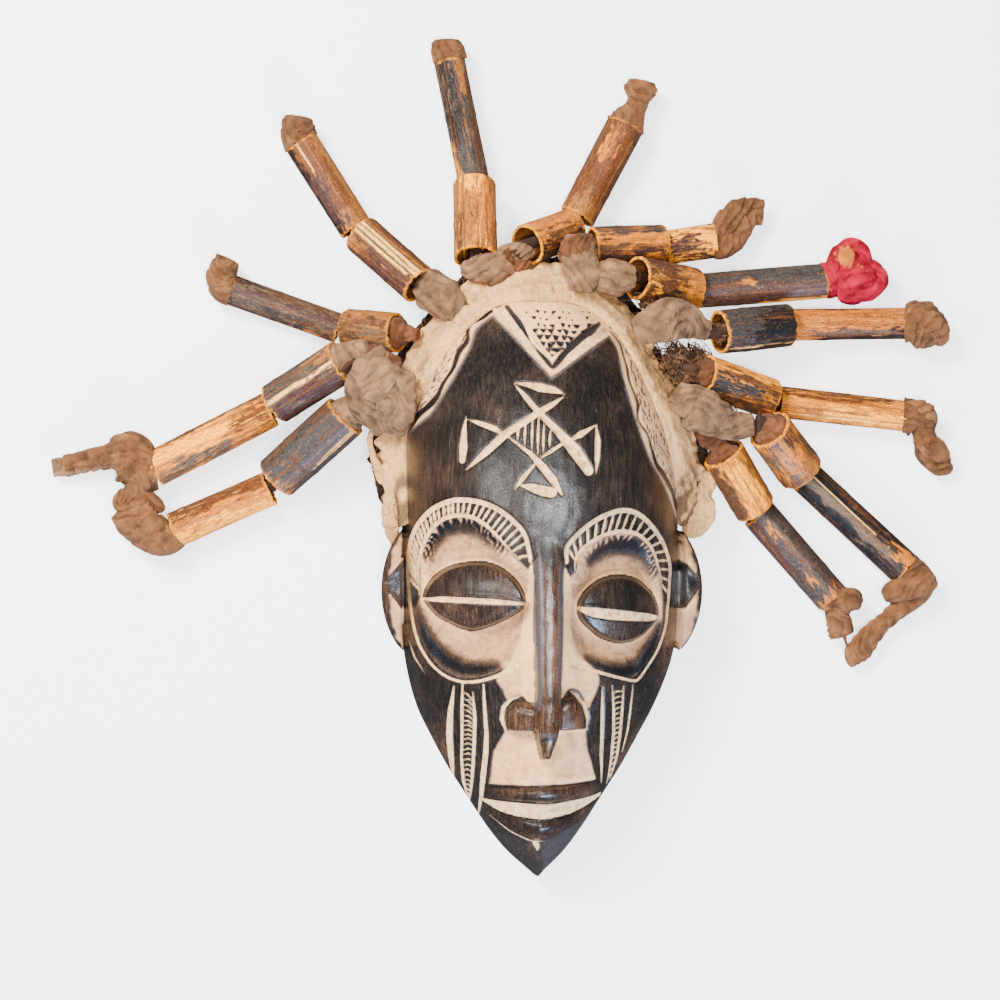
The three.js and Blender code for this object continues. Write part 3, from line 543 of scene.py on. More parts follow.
# The carved front. z starts as the dome, and each feature adds to it, so seen from the front nothing moves.
def carveFront(x, y):
    z = domeHeight(x, y)
    dome = z.copy()
    clay, cut, soot, line = (np.full(x.shape, farOutside) for _ in range(4))
    pale = np.zeros(x.shape)
    flat = np.stack([x, y, 0 * x], -1)
    # the stain is worn brown towards the sides of the cheeks
    onCheek = (smoothStep((sideShare(x, y) - 0.7) / 0.25) * smoothStep((y + 112) / 30)
               * smoothStep((carving["browLevel"] - y) / 30))
    rub = 0.08 + 0.32 * onCheek * (1 + 0.8 * drift(flat * [1, 0.4, 1], 26, 9))
    grooves = [strokeReach(x, y, stroke) for stroke in carving["strokes"] + carving["vee"]]
    grooves += [strokeReach(x, y, [[at, top, 0.7], [at - 0.4, (top + low) / 2, 1.4], [at - 0.5, low, 0.5]])
                for at, top, low in carving["hatchAt"]]
    for ladder in carving["ladders"]:
        grooves += [strokeReach(x, y, ladder["from"]), strokeReach(x, y, ladder["to"])]
        grooves += [strokeReach(x, y, rung) for rung in rungsBetween(
            ladder["from"], ladder["to"], ladder["rungs"], 0.06, 0.93, 1.0, ladder["slope"])]
    for eye in eyes:
        inRim = insideCurve(x, y, eye["rim"] + eye["noseSide"], 160)
        inBowl = insideCurve(x, y, eye["brow"] + eye["bowlRest"], 160)
        inLid = insideCurve(x, y, eye["lid"], 120)
        z -= (carving["rimDepth"] * smoothStep((inRim + 0.4) / 2.5)
              + carving["bowlDepth"] * smoothStep(inBowl / 10))
        # the closed lid is an ellipsoid that touches the dome's slope at the lid's middle
        cx, cy = eye["lidMiddle"]
        across, up = (x - cx) / eye["lidSize"][0], (y - cy) / eye["lidSize"][1]
        middle, east, west, north, south = domeHeight(
            cx + np.array([0, 6, -6, 0, 0]), cy + np.array([0, 0, 0, 12, -12]))
        slopeX, slopeY = (east - west) / 12, (north - south) / 24
        bulge = carving["lidBulge"] * np.sqrt(np.clip(1 - across**2 - up**2, 0, 1))
        lidTop = middle + 0.9 * slopeX * (x - cx) + slopeY * (y - cy) - 10.5 + bulge
        z += np.maximum(lidTop - z, 0) * smoothStep(inLid / 1.8)
        slit = strokeReach(x, y, eye["slit"])
        z += (0.8 * smoothStep(slit + 1.6) * (inLid > 0)
              - carving["slitDepth"] * smoothStep((slit + 0.5) / 1.4))
        z += carving["foldHeight"] * smoothStep((strokeReach(x, y, eye["fold"]) + 0.8) / 1.4)
        # clay lies on the floor of the bowl, thickest by the lid, and thins out slowly into the dark bands
        darkBand = np.maximum(strokeReach(x, y, eye["darkAbove"]), strokeReach(x, y, eye["darkBelow"]))
        spokes = np.cos(66 * np.arctan2(y - cy, x - cx) + 2.0 * drift(flat, 9, 17))
        brushed = np.clip(spokes * smoothStep((7.5 - inBowl) / 5), 0, 1) ** 2 * (y > cy)
        layer = 2.3 * brushed - 0.2 - 0.36 * darkBand
        clay = np.maximum(clay, np.minimum.reduce([inBowl - 0.2, layer, -3.0 * inLid]))
        # the dark bands are blackened wood with painted shade over it
        soot = np.maximum(soot, 0.7 * darkBand)
        thick = 1.1 * np.exp(inLid / 1.5) + 0.5 * np.exp(-inBowl / 1.6)
        pale = np.maximum(pale, np.where((inBowl > 0) & (inLid < 0), thick, 0))
        rub = np.maximum(rub, eye["brown"] * smoothStep(inLid / 3))
        for mark in eye.get("slitMarks", []):
            reach = strokeReach(x, y, mark)
            line = np.maximum(line, 1.6 * reach)
            z -= 0.35 * smoothStep((reach + 0.2) / 0.4)
        cut = np.maximum(cut, slit)
        browLine = lineThrough(eye["brow"], 90)
        browWidth = 0.5 + 1.5 * np.sin(np.linspace(0.15, np.pi - 0.1, 90))[:, None]
        rimWidth = 1.9 + 0.5 * np.sin(np.linspace(0, 2 * np.pi, 120))[:, None]
        grooves.append(strokeReach(x, y, np.hstack([browLine, browWidth])))
        grooves.append(strokeReach(x, y, np.hstack([lineThrough(eye["rim"], 120), rimWidth])))
        over = [point for point in eye["rim"][:15] if point[1] > -4]
        grooves += [strokeReach(x, y, rung) for rung in rungsBetween(
            over, eye["brow"], eye["ticks"], eye["tickFrom"], eye["tickTo"], 1.5)]

    # the side bands at the hairline: a pale edge, a groove darkened with painted shade, and clay scored with
    # wavering lines
    aboveBrows = y > carving["browLevel"]
    darkField = np.concatenate([lineThrough(carving["darkLeft"], 130), [carving["darkMiddle"]],
                                lineThrough(carving["darkRight"], 110)])
    outside = -insideDistance(x, y, darkField, 30.0)
    inVee = insideDistance(x, y, path("-24,150 -24,133 0.9,102.5 30,123.5 30,150"))
    band = aboveBrows & (inVee < 0) & (outside > -1)
    clay = np.where(aboveBrows, np.maximum(clay, outside - 0.1), clay)
    waver = drift(flat, 13, 5)
    halfGroove = np.where(x < 0, 0.25 + 0.45 * smoothStep((98 - y) / 14),
                          0.9 * smoothStep((76 - y) / 20) - 0.25)
    fromGroove = abs(outside - carving["grooveAt"] - 0.5 * waver) - halfGroove
    lengthwise = np.cos(2 * np.pi * outside / 2.1 + 1.6 * drift(flat, 7, 5) + 0.8 * np.sin(y / 1.9))
    broken = drift(flat * [1.2, 0.625, 1], 3.6, 6)
    scored = (np.clip(lengthwise - 0.25, 0, 1) * smoothStep((broken + 0.75) / 0.8)
              * smoothStep((outside - 3.2) / 0.8))
    line = np.where(band, np.where(outside > 3.2, 1.7 * scored - 0.30, farOutside), line)
    clay = np.where(band, np.minimum(clay, 2.4 * fromGroove - 1.2), clay)
    soot = np.maximum(soot, np.where(band, 2.4 - 2.6 * fromGroove, farOutside))
    pale = np.where(band, 1.1 * np.exp(-np.clip(outside, 0, 9) / 2), pale)
    sunk = carving["grooveDepth"] * smoothStep(1.3 - fromGroove) + 0.9 * scored
    z += np.where(band, 0.8 * smoothStep(outside / 1.2) - sunk, 0)
    # the vee: two pale arms, two grooves and a patch of net cut as rows of pits that grow downwards; the
    # grooves
    #     # and the pits are darkened with painted shade
    net = insideDistance(x, y, carving["netPatch"])
    cellWidth, cellHeight = carving["netCell"]
    row = np.round((y + 0.4 * waver) / cellHeight)
    offX = (x + 0.9 * waver) / cellWidth + 0.5 * (row % 2)
    offX = (offX - np.round(offX)) * cellWidth
    offY = y + 0.4 * waver - row * cellHeight
    # each pit is a triangle that points down, with its three sides at one distance from its middle
    size = 1.25 - 0.85 * smoothStep((y - 112) / 24) + 0.13 * drift(flat, 6, 8)
    pit = 1 - np.maximum(offY, 0.8 * abs(offX) - 0.5 * offY) / size
    pit = np.where(net > 0.6, pit, -1)
    z -= carving["pitDepth"] * smoothStep(pit * 1.8)
    clay = np.where((inVee > 0) & (net > 0.6), np.minimum(clay, -3.0 * pit - 0.1), clay)
    soot = np.maximum(soot, np.where(net > 0.6, 2.0 * pit, farOutside))
    pale = np.where(inVee > -0.5, 0.55, pale)
    for stroke in carving["veeDark"]:
        reach = strokeReach(x, y, stroke)
        z -= carving["veeDepth"] * smoothStep((reach + 0.3) / 1.6)
        clay = np.where(reach > -0.8, np.minimum(clay, -1.3 * reach), clay)
        soot = np.maximum(soot, np.minimum(1.2 * reach, 0.6))

    # the plane above the mouth, the clay beside the nose, and the nostril wings
    inPlane = insideDistance(x, y, carving["lipPlane"])
    lean = -1.6 + 4.6 * (-58 - y) / 27
    z += np.where(inPlane > 0, (lean + 1.1 * smoothStep((-80 - y) / 2.5)) * smoothStep(inPlane / 1.2), 0)
    clay = np.maximum(clay, 1.6 * inPlane)
    # the clay on the plane is paler along its top and bottom edges and grows paler from left to right
    pale = np.where(inPlane > 0, 0.7 * np.exp(-abs(y + 60) / 2.5) + 0.8 * smoothStep((-80 - y) / 3)
                    + 0.3 * drift(flat, 9, 20) - 0.3 + 0.035 * x, pale)
    for outline in carving["besideNose"]:
        inside = insideCurve(x, y, outline, 60)
        clay = np.maximum(clay, 1.6 * inside)
        pale = np.maximum(pale, 1.4 * smoothStep(inside / 2) * smoothStep((14 - abs(x)) / 6))
    for outline in carving["wings"]:
        inside = insideCurve(x, y, outline, 60)
        onWing = y > -58.6
        t = np.clip(inside / 6.5, 0, 1)
        z += np.where(onWing, carving["wingHeight"] * np.sqrt(np.clip(1 - (1 - t) ** 2, 0, 1)), 0)
        clay = np.where((inside > -0.3) & onWing, -inside - 0.3, clay)
        rub = np.maximum(rub, np.where(onWing, 0.8 * smoothStep(inside / 2), 0))

    # the mouth: an upper lip, a clay crescent and a lower lip, each rolled between its two edges
    lines = [faceAt(key, x) for key in ("lipTop", "lipBottom", "mouthBottom", "chinTop")]
    ends = smoothStep((28.6 - abs(x + 0.2)) / 3)
    swell = np.sqrt(np.clip(1 - ((x + 0.3) / 29.5) ** 2, 0, 1))
    upperLip, mouth, lowerLip = (np.clip((y - low) / (high - low), 0, 1)
                                 for high, low in zip(lines[:-1], lines[1:]))
    z += carving["upperLip"] * swell * np.sin(np.pi * upperLip) ** 0.7
    z += (2.2 - 1.2 * np.sin(np.pi * mouth)) * swell * (mouth > 0) * (mouth < 1)
    z += carving["lowerLip"] * swell * np.sin(np.pi * lowerLip) ** 0.75
    inMouth = np.minimum(lines[1] - y, y - lines[2])
    cut = np.maximum(cut, np.minimum(inMouth, 28.4 - abs(x)))
    inLips = np.maximum(np.minimum(lines[0] - y, y - lines[1]), np.minimum(lines[2] - y, y - lines[3]))
    clay = np.where((inLips > 0) & (abs(x) < 28), -inLips, clay)
    rub = np.maximum(rub, 0.36 * smoothStep(inLips) * ends)
    belowChin = y < lines[3]
    # the chin is greyed with dust and a painted sheen, paler on its right facet where the painted sheen is
    # stronger
    pale = np.where(belowChin & (y < -96), 0.42 + 0.25 * smoothStep((x + 2) / 4), pale)
    ridge = carving["chinRidge"] * np.exp(-abs(x + 2.6) / 5) * smoothStep((lines[3] - y) / 4)
    z += np.where(belowChin, ridge, 0)

    # the nose bar, with steep sides
    left, rightSide = faceAt("noseLeft", y), faceAt("noseRight", y)
    s = (x - (left + rightSide) / 2) / ((rightSide - left) / 2)
    inNose = np.minimum.reduce([x - left, rightSide - x, y + 72.6])
    top = faceAt("noseTop", y) - 2.6 * s**2 - 2.2 * s**6
    below = carving["browLevel"] - y
    wall = smoothStep((inNose + 0.3) / 1.5) * smoothStep(below / 14)
    z = np.where(inNose > -0.3, z + (np.maximum(top, dome) - z) * wall, z)
    onNose = np.minimum(inNose, below)
    clay = np.where(onNose > -0.2, np.minimum(clay, -onNose), clay)
    ridge = 1.15 + 0.9 * np.exp(-(((y + 62) / 6) ** 2)) * drift(flat, 3.5, 18)
    rub = np.maximum(rub, ridge * smoothStep(onNose / 2.5) * smoothStep((26 - y) / 22))

    reach = np.maximum.reduce(grooves)
    reach = np.where((inNose > 0) & (y < 20), -4.0, reach)
    cut = np.maximum(cut, reach)
    z -= carving["depth"] * np.clip((reach + 0.25) / 1.1, 0, 1.25)
    z += 0.05 * drift(flat, 7, 3) * smoothStep(dome / 20)
    marks = {"clay": clay, "cut": cut, "soot": soot, "line": line, "rub": rub, "pale": pale}
    return np.clip(z, 0.0, 89.7), marks


# Every row runs over the carved front from rim to rim and back through the hollow, which makes one closed skin
def makeFace():
    v = np.linspace(0, 1, face["rows"])
    y = face["chin"] + (face["crown"] - face["chin"]) * (0.9 * v + 0.1 * (0.5 - 0.5 * np.cos(np.pi * v)))
    u = np.linspace(-1, 1, face["columns"])
    share = np.sin(np.pi / 2 * (0.65 * u + 0.35 * u**3))
    middle, half = faceAt("midline", y)[:, None], faceAt("halfWidth", y)[:, None]
    frontX, frontY = middle + share * half, np.repeat(y[:, None], len(u), axis=1)
    frontZ, marks = carveFront(frontX.ravel(), frontY.ravel())
    frontZ = frontZ.reshape(frontX.shape)
    frontZ[:, [0, -1]] = 0
    back = np.linspace(1, -1, face["backColumns"])
    backShare = np.sin(np.pi / 2 * (0.6 * back + 0.4 * back**3))
    fromChin, fromCrown = face["hollowEnds"]
    room = (y > face["chin"] + fromChin) & (y < face["crown"] - fromCrown)
    backHalf = np.where(room, half[:, 0] - face["rim"], 0.4)[:, None]
    rise = (1 - abs(backShare) ** 2.2) ** 0.5
    backZ = np.where(room[:, None], face["hollowShare"] * faceAt("height", y)[:, None] * rise, 0)
    backX = middle + backShare * backHalf
    points = np.concatenate([np.stack([frontX, frontY, frontZ], -1),
                             np.stack([backX, np.repeat(y[:, None], len(back), axis=1), backZ], -1)], axis=1)
    sheet = {"points": closeSkin(points)}
    for key, values in marks.items():
        plain = {"rub": 0.3, "pale": 0.0}.get(key, farOutside)
        whole = np.full((points.shape[0], points.shape[1] + 1), plain)
        whole[:, :len(u)] = values.reshape(frontX.shape)
        sheet[key] = np.concatenate([whole[:1], whole, whole[-1:]])
    return sheet


# An ear is half a lens on the side wall: an ellipsoid, with two crescents that meet at a dark notch. Its tilt
# is in radians.
ears = {"size": [10, 29, 13], "middle": [65.5, 4, 27], "tilt": 0.5, "rows": 64, "columns": 48,
        "notch": path("66,18 75,7.4 66,-5")}


def makeEar(side):
    theta = np.linspace(0, np.pi, ears["rows"])[:, None]
    phi = np.linspace(0, 2 * np.pi, ears["columns"])[None]
    rx, ry, rz = ears["size"]
    leaf = np.sin(theta) ** 1.5
    x = rx * leaf * np.cos(phi)
    y = np.repeat(ry * np.cos(theta), ears["columns"], axis=1)
    z = rz * leaf * np.sin(phi)
    turned = side * ears["tilt"]
    x, z = x * math.cos(turned) + z * math.sin(turned), z * math.cos(turned) - x * math.sin(turned)
    x, y, z = side * ears["middle"][0] - 0.3 + x, y + ears["middle"][1], z + ears["middle"][2]
    inNotch = insideDistance(x.ravel(), y.ravel(), np.array(ears["notch"]) * [side, 1]).reshape(x.shape)
    z = np.where(z > ears["middle"][2] - 6, z - 2.2 * smoothStep((inNotch + 0.8) / 2), z)
    # nothing of an ear stands above the wood beside it
    wood = domeHeight(x.ravel(), y.ravel()).reshape(x.shape)
    z = np.where(wood > 0, np.minimum(z, np.maximum(wood - 1.5, 3)), z)
    fromEdge = 9.3 * np.sqrt(np.clip(1 - ((y - ears["middle"][1]) / ry) ** 2, 0, 1)) - abs(x - side * 65.2)
    clay = np.minimum(-2.4 * inNotch - 0.8, 1.1 * fromEdge - 0.9 + 0.5 * drift(np.stack([x, y, z], -1), 6, 16))
    # the notch is darkened with painted shade
    return {"points": np.stack([x, y, z], -1), "clay": clay, "cut": np.full(x.shape, farOutside),
            "soot": 0.4 * inNotch, "line": np.full(x.shape, farOutside), "rub": np.full(x.shape, 0.35),
            "pale": 0.95 * np.exp(-np.clip(-inNotch, 0, 9) / 1.3) - 0.35}


oiledWood = makeWood()
makePiece("face_carving", [makeFace(), makeEar(-1), makeEar(1)], oiledWood, "carved_wood", ["carved_face"])
print("face carved")


clayTones = {
    "cake": [(0.37, (0.31, 0.162, 0.068)), (0.44, (0.54, 0.285, 0.117)), (0.52, (0.77, 0.405, 0.158)),
             (0.64, (0.96, 0.545, 0.205))],
    "grit": (0.14, 0.072, 0.036), "stain": (0.10, 0.052, 0.030), "cracks": (0.09, 0.048, 0.028),
}


# Cloth caked with pale clay. stain is how brown a point is: stains, and painted shade in the creases and along
# the wood. The cracks are the edges of large uneven cells.
def makeClay():
    material, shader = newMaterial("cakedClay", 0.9, 0.2)
    place = inMillimetres()
    broad = addNoise(place, 0.045, 4.0)
    dust = addNoise(place, 0.5, 7.0, 0.7)
    grit = addNoise(place, 1.9, 5.0, 0.75)
    threads = addNoise(inMillimetres((0.5, 0.12, 0.5), (0, 0, 28)), 1.2, 4.0)
    color = addRamp(addShares((broad, 0.5), (dust, 0.5)), clayTones["cake"])
    color = blendColor(easeRange(grit, 0.34, 0.46, 0.55, 0.0), color, clayTones["grit"])
    stained = easeRange(addShares((readMark("stain"), 1.0), (dust, 0.8)), 0.55, 1.35, 0, 0.85)
    color = blendColor(stained, color, clayTones["stain"])
    cells = addNode("TexVoronoi", {"Vector": place, "Scale": 0.075, "Randomness": 1.0},
                    feature="DISTANCE_TO_EDGE").outputs["Distance"]
    cracks = easeRange(addShares((cells, 1.0), (dust, 0.10)), 0.040, 0.062, 0.28, 0.0)
    color = blendColor(cracks, color, clayTones["cracks"])
    joinShader(shader, color, addShares((dust, 1.3), (threads, 0.8), (grit, 0.25), (cracks, -0.4)))
    return material


# The cap band over the crown, between its edge on the wood and its outer edge. torn holds the torn bits at
# its ends: paths of x,y,z,width,thickness, with a seed for each.
cap = {
    "frontEdge": path("-67,34 -67.5,48 -67,66 -63,84 -55,101 -44.5,118 -32,131 -20,139 0,140.5 19,138 "
        "31,129.5 39.5,117 46.5,103 53,87 60,68 64,50 64.5,35"),
    "outerEdge": path("-69.5,33 -76,50 -79,68 -75.5,87 -69,105 -61.5,121 -50,136 -33,152.5 -4,159.5 24,155.5 "
        "41,139 54,116.5 63,101.5 72,84 75.5,66.5 76.5,49 72,33.5"),
    "stations": 420, "edgeHeight": 21, "underside": 17, "thickness": 2.6, "wrinkle": 1.15, "around": 64,
    "torn": [
        ("77,61,23,3,2 79.5,55,23,8,4 77.5,49,23,7,5 78,43,22,10,4 75,36,22,13,4 71,31.5,22,9,4 "
         "69,29,22,3,2", 21),
        ("-76,86,22,2,2 -80,81,22,2.6,4 -82,75,22,2.4,4 -80.5,68,22,3,4 -77.5,60,22,5,4 -76,54,22,3,3", 22),
        ("-71,50,28,2,3 -72.5,44,27,7,4 -72.5,36,26,7.5,4 -71,29,25,5,4 -70,22.5,25,1.5,2", 23),
    ],
}


# Where the band starts on the wood and which way it runs, with the way out to where the wood is at a height
def bandFrame(count):
    start, end = (lineThrough(cap[key], count) for key in ("frontEdge", "outerEdge"))
    out = end - start
    reach = np.linalg.norm(out, axis=1)
    out /= reach[:, None]
    ways = np.arange(-5, 45, 0.4)
    x, y = (start[:, k, None] + out[:, k, None] * ways for k in (0, 1))
    woodHeight = domeHeight(x.ravel(), y.ravel()).reshape(count, -1)

    def wayTo(height):
        return ways[np.argmax(woodHeight <= np.asarray(height)[..., None] + 0 * ways, axis=-1)] + 0.6

    return start, out, reach, domeHeight(start[:, 0], start[:, 1]), wayTo


# The skin of a band: at each station a closed, smooth section goes round its corners of (way out, height)
def bandSkin(start, out, corners, around):
    count = len(start)
    way, height = (np.stack([corner[k] + np.zeros(count) for corner in corners], axis=1) for k in (0, 1))
    ring = lineThrough(np.concatenate([way.T, height.T], axis=1), around, closed=True)
    way, height = ring[:, :count].T, ring[:, count:].T
    ground = start[:, None] + out[:, None] * way[..., None]
    return way, height, np.concatenate([ground, height[..., None]], axis=-1)


# The band leaves the wood, falls to its outer edge and comes back underneath. Wrinkles, the valleys of a
# drift, run along it, and broad and fine drifts make it lumpy.
def makeCap():
    start, out, reach, top, wayTo = bandFrame(cap["stations"])
    edge, under, thick = cap["edgeHeight"], cap["underside"], cap["thickness"]
    front = np.maximum(top, edge + 5)
    fall = front - edge
    way, height, points = bandSkin(start, out, [
        (wayTo(front) - 1.4, front + 0.5), (wayTo(front) - 1.1, front + thick * 0.8),
        (reach * 0.18, front + thick * 1.05 - fall * 0.05), (reach * 0.4, front + thick - fall * 0.22),
        (reach * 0.64, edge + fall * 0.58 + 1), (reach * 0.84, edge + fall * 0.36),
        (reach * 0.96, edge + fall * 0.16), (reach, edge), (reach - 0.6, edge - 2), (reach - 2.2, under + 0.2),
        (reach - 5, under), (wayTo(under) + 1, under), (wayTo(under), under + 1),
        (wayTo(front - fall * 0.5), front - fall * 0.5), (wayTo(front), front - 0.5),
    ], cap["around"])
    # the skin by the wood stays put
    share = way / reach[:, None]
    outer = smoothStep((height - top[:, None] * 0.5 - 6) / 8 + share) * smoothStep(share * 5 + 0.1)
    along = np.linspace(0, 60, cap["stations"])[:, None] + 0 * way
    skin = np.stack([along * 1.6, way, 0 * way], -1)
    folds = (0.6 - 1.2 * abs(drift(skin * [1, 1.1, 1], 8, 11)) ** 0.6
             - 0.5 * np.exp(-3 * abs(drift(skin, 4.5, 19))))
    torn = drift(np.stack([along * 2.2, 0 * way, 0 * way], -1), 3, 15) * smoothStep((share - 0.7) / 0.3)
    lumps = drift(points, 24, 12) * 0.8 + drift(points, 5, 13) * 0.4 + folds + 1.8 * torn
    push = np.stack([out[:, None, 0] * share, out[:, None, 1] * share, 1.2 - 0.5 * share], -1)
    points = points + push * (outer * lumps * cap["wrinkle"] * 0.55)[..., None]
    points[..., 2] = np.maximum(points[..., 2], under - 0.6)
    # brown at the outer edge, in patches and on the lower parts of the two flaps, most on the right one; the
    # brown
    #     # in the wrinkles' valleys and in a thin line along the wood is painted shade
    flaps = np.where(points[..., 0] > 0, 0.8, 0.5) * smoothStep((66 - points[..., 1]) / 24)
    stain = (0.30 * smoothStep((share - 0.8) / 0.2) - 0.42 * np.minimum(folds + 0.2, 0)
             + 0.16 * drift(points, 26, 14) + 0.12 * np.exp(-((way - wayTo(front)[:, None]) / 1.2) ** 2)
             + flaps * (1 + 0.8 * drift(points, 9, 16)))
    return {"points": closeSkin(points), "stain": closeSkin(stain)}


# A closed body along a path of x,y,z,width,thickness stops, with a rounded rectangle for a section. Its cloth
# lies in overlapping layers: q counts layers across the body and along it, at an angle that depends on the
# seed and with a drift, and the surface rises through each layer up to its edge and then drops. layers holds
# a layer's width, the angle of its edges to the path in degrees, how far an edge rises, and how deep the
# crumples between them are, in millimetres. squareness 2 gives an ellipse and more a squarer section; the ends
# close over closeOver steps.
def sweptBody(stops, count, around, layers, seed, squareness, closeOver):
    line = lineThrough(path(stops) if isinstance(stops, str) else stops, count)
    center, width, thick = line[:, :3], np.maximum(line[:, 3], 0.4), np.maximum(line[:, 4], 0.4)
    along = np.gradient(center, axis=0)
    stepLength = np.linalg.norm(along, axis=1, keepdims=True)
    along /= stepLength
    side, up = acrossLine(along)
    phi = np.linspace(0, 2 * np.pi, around + 1)
    run = np.linspace(0, 1, count)[:, None]
    c, s = np.cos(phi), np.sin(phi)
    blunt = (abs(c) ** squareness + abs(s) ** squareness) ** (-1 / squareness) + 0 * run
    closing = np.sqrt(np.clip(np.minimum(run, 1 - run) * (count - 1) / closeOver, 0, 1))
    across, high = blunt * c * width[:, None] / 2, blunt * s * thick[:, None] / 2
    layer, angle, rise, crush = layers
    skin = np.stack([np.cumsum(stepLength)[:, None] + 0 * phi, across, 1.6 * high], -1)
    turned = math.radians(angle + 22 * math.sin(2.4 * seed))
    q = ((skin[..., 0] * math.sin(turned) + across * math.cos(turned) + 0.5 * high) / layer
         + 0.42 * drift(skin, 4 * layer, seed, 12) + 0.06 * drift(skin, 3, seed + 1))
    part = q - np.floor(q)
    height = np.where(part < 0.86, (part / 0.86) ** 0.7, (1 - part) / 0.14)
    crumple = abs(drift(skin, 4.5, seed + 2, 12)) ** 0.5 - 0.8
    lift = rise * (height - 0.55) + crush * crumple
    lift = lift * np.minimum(1, (np.minimum(width, 2 * thick) / 7)[:, None])
    swell = (1 + 0.05 * drift(skin, 14, seed + 3)) * closing
    points = (center[:, None] + side[:, None] * (across * swell + c * lift * closing)[..., None]
              + up[:, None] * (high * swell + s * lift * closing)[..., None])
    points[..., 2] = np.maximum(points[..., 2], 0.15)
    points[:, -1] = points[:, 0]
    # tone is painted shade: darker where a layer goes under the next one and in the crumples' valleys, lighter
    # towards each layer's raised edge, with a random tone for each layer
    tone = 0.52 + 0.62 * height ** 0.6 + 0.16 * np.sin(12.9 * np.floor(q) + seed) + 0.20 * crumple
    return points, tone


cakedClay = makeClay()
capSheets = [makeCap()]
for stops, seed in cap["torn"]:
    points, tone = sweptBody(stops, 90, 44, (3.6, 20, 1.0, 0.3), seed, 3.0, 3.0)
    # the torn bits' stain is their folds' painted shade turned to brown
    capSheets.append({"points": points, "stain": 0.75 - 0.55 * tone})
makePiece("cap_clay", capSheets, cakedClay, "clay_cloth", ["cap_band"])
print("cap made")


# The roll of net under the cap: how far it stands out at its two ends, its lowest and highest point, and its
# loose fibres and tufts, which are x,y,z,size
net = {
    "overhang": [1.5, 6], "low": 1, "high": 16.5, "stations": 260, "around": 40, "fibres": 300,
    "thickness": 0.66, "tuftFibres": 92,
    "tufts": path("63,114,32,9 68,106,31,9 74,113,26,8 79,104,25,7 78,96,27,9 86,90,24,8 52,140,31,7 "
        "60,134,28,7 -70,100,30,6 86,127,26,4 37,154,33,5"),
    "tones": [(0.25, (0.006, 0.003, 0.002)), (0.50, (0.026, 0.012, 0.007)), (0.78, (0.085, 0.038, 0.018)),
              (1.0, (0.23, 0.115, 0.052))],
}


# Coarse brown fibre; shade says how light each fibre is
def makeFibre():
    material, shader = newMaterial("brownFibre", 0.85)
    speck = addNoise(inMillimetres(), 1.6, 4.0, 0.7)
    color = addRamp(addShares((readMark("shade"), 1.0), (speck, 0.5)), net["tones"])
    joinShader(shader, color, addMath("MULTIPLY", speck, 0.3))
    return material


# Tubes along many lines at once. lines is fibres by steps by 3; the sections lie across each line.
def fibreTubes(lines, radius, shade, sides=3):
    along = np.gradient(lines, axis=1)
    along /= np.linalg.norm(along, axis=-1, keepdims=True) + 1e-9
    side, up = acrossLine(along, (0.13, 0.21, 0.97))
    phi = np.linspace(0, 2 * np.pi, sides + 1)
    steps = lines.shape[1]
    taper = np.sqrt(np.clip(np.minimum(np.arange(steps), steps - 1 - np.arange(steps)) / 2.0, 0.0, 1))
    size = radius[:, None, None] * taper[None, :, None]
    points = (lines[:, :, None] + side[:, :, None] * (size * np.cos(phi))[..., None]
              + up[:, :, None] * (size * np.sin(phi))[..., None])
    points[..., 2] = np.maximum(points[..., 2], 0.1)
    return [{"points": p, "shade": np.full(p.shape[:2], s)} for p, s in zip(points, shade)]


# A dark core, whose outer side is lumpy with two drifts, with loose fibres around it and tufts
def makeNet():
    count = net["stations"]
    start, out, reach, _, wayTo = bandFrame(count)
    low, high = net["low"], net["high"]
    inside = np.maximum(wayTo(low), wayTo(high)) + 0.8
    outside = reach + np.linspace(*net["overhang"], count)
    way, _, points = bandSkin(start, out, [
        (inside, high), (outside - 3, high - 0.5), (outside, high - 5), (outside, low + 5),
        (outside - 3.5, low), (inside, low)], net["around"])
    bulge = drift(points, 7, 31) * 0.6 + drift(points, 3.2, 32) * 0.35
    outer = smoothStep((way - inside[:, None] - 2) / 3)
    points[..., :2] += out[:, None] * (outer * bulge)[..., None]
    points = closeSkin(points)
    points[..., 2] = np.maximum(points[..., 2], 0.1)
    sheets = [{"points": points, "shade": 0.02 + 0.06 * drift(points, 4, 33)}]
    # loose fibres wander along the roll's outer side while they turn around it
    source = np.random.default_rng(41)
    fibres, step = net["fibres"], np.linspace(0, 1, 24)
    at = source.uniform(0.02, 0.98, (fibres, 1)) + step * source.uniform(-0.12, 0.12, (fibres, 1))
    turns = source.uniform(0, 6.3, (fibres, 1)) + step * source.uniform(-9, 9, (fibres, 1))

    def atStation(values):
        return np.interp(np.clip(at * (count - 1), 0, count - 1), np.arange(count), values)

    outwards, upwards = np.clip(1.3 * np.cos(turns), -1, 1), np.clip(1.3 * np.sin(turns), -1, 1)
    way = atStation((inside + outside) / 2) + (atStation((outside - inside) / 2) + 0.2) * outwards
    height = (low + high) / 2 + ((high - low) / 2 + 0.1) * upwards
    ground = [atStation(start[:, k]) + atStation(out[:, k]) * way for k in (0, 1)]
    sheets += fibreTubes(np.stack([*ground, height], -1), source.uniform(0.3, 0.6, fibres) * net["thickness"],
                         source.uniform(0.1, 0.75, fibres))
    # tangled tufts between the cloth wraps: each fibre is a loop of random waves around the tuft's middle
    amount, t = net["tuftFibres"], np.linspace(0, 1, 22)[None, :, None]
    for x, y, z, size in net["tufts"]:
        waves = sum(source.normal(size=(amount, 1, 3))
                    * np.sin(2 * np.pi * k * t + source.uniform(0, 6.3, (amount, 1, 3))) / k
                    for k in (1, 2, 3))
        loops = np.array([x, y, z]) + waves * np.array([size, size, size * 0.55]) * 0.42
        sheets += fibreTubes(loops, source.uniform(0.3, 0.55, amount) * net["thickness"],
                             source.uniform(0.25, 0.85, amount))
    return sheets


makePiece("net_fibres", makeNet(), makeFibre(), "fibre_net", ["net_roll"])
print("net made")


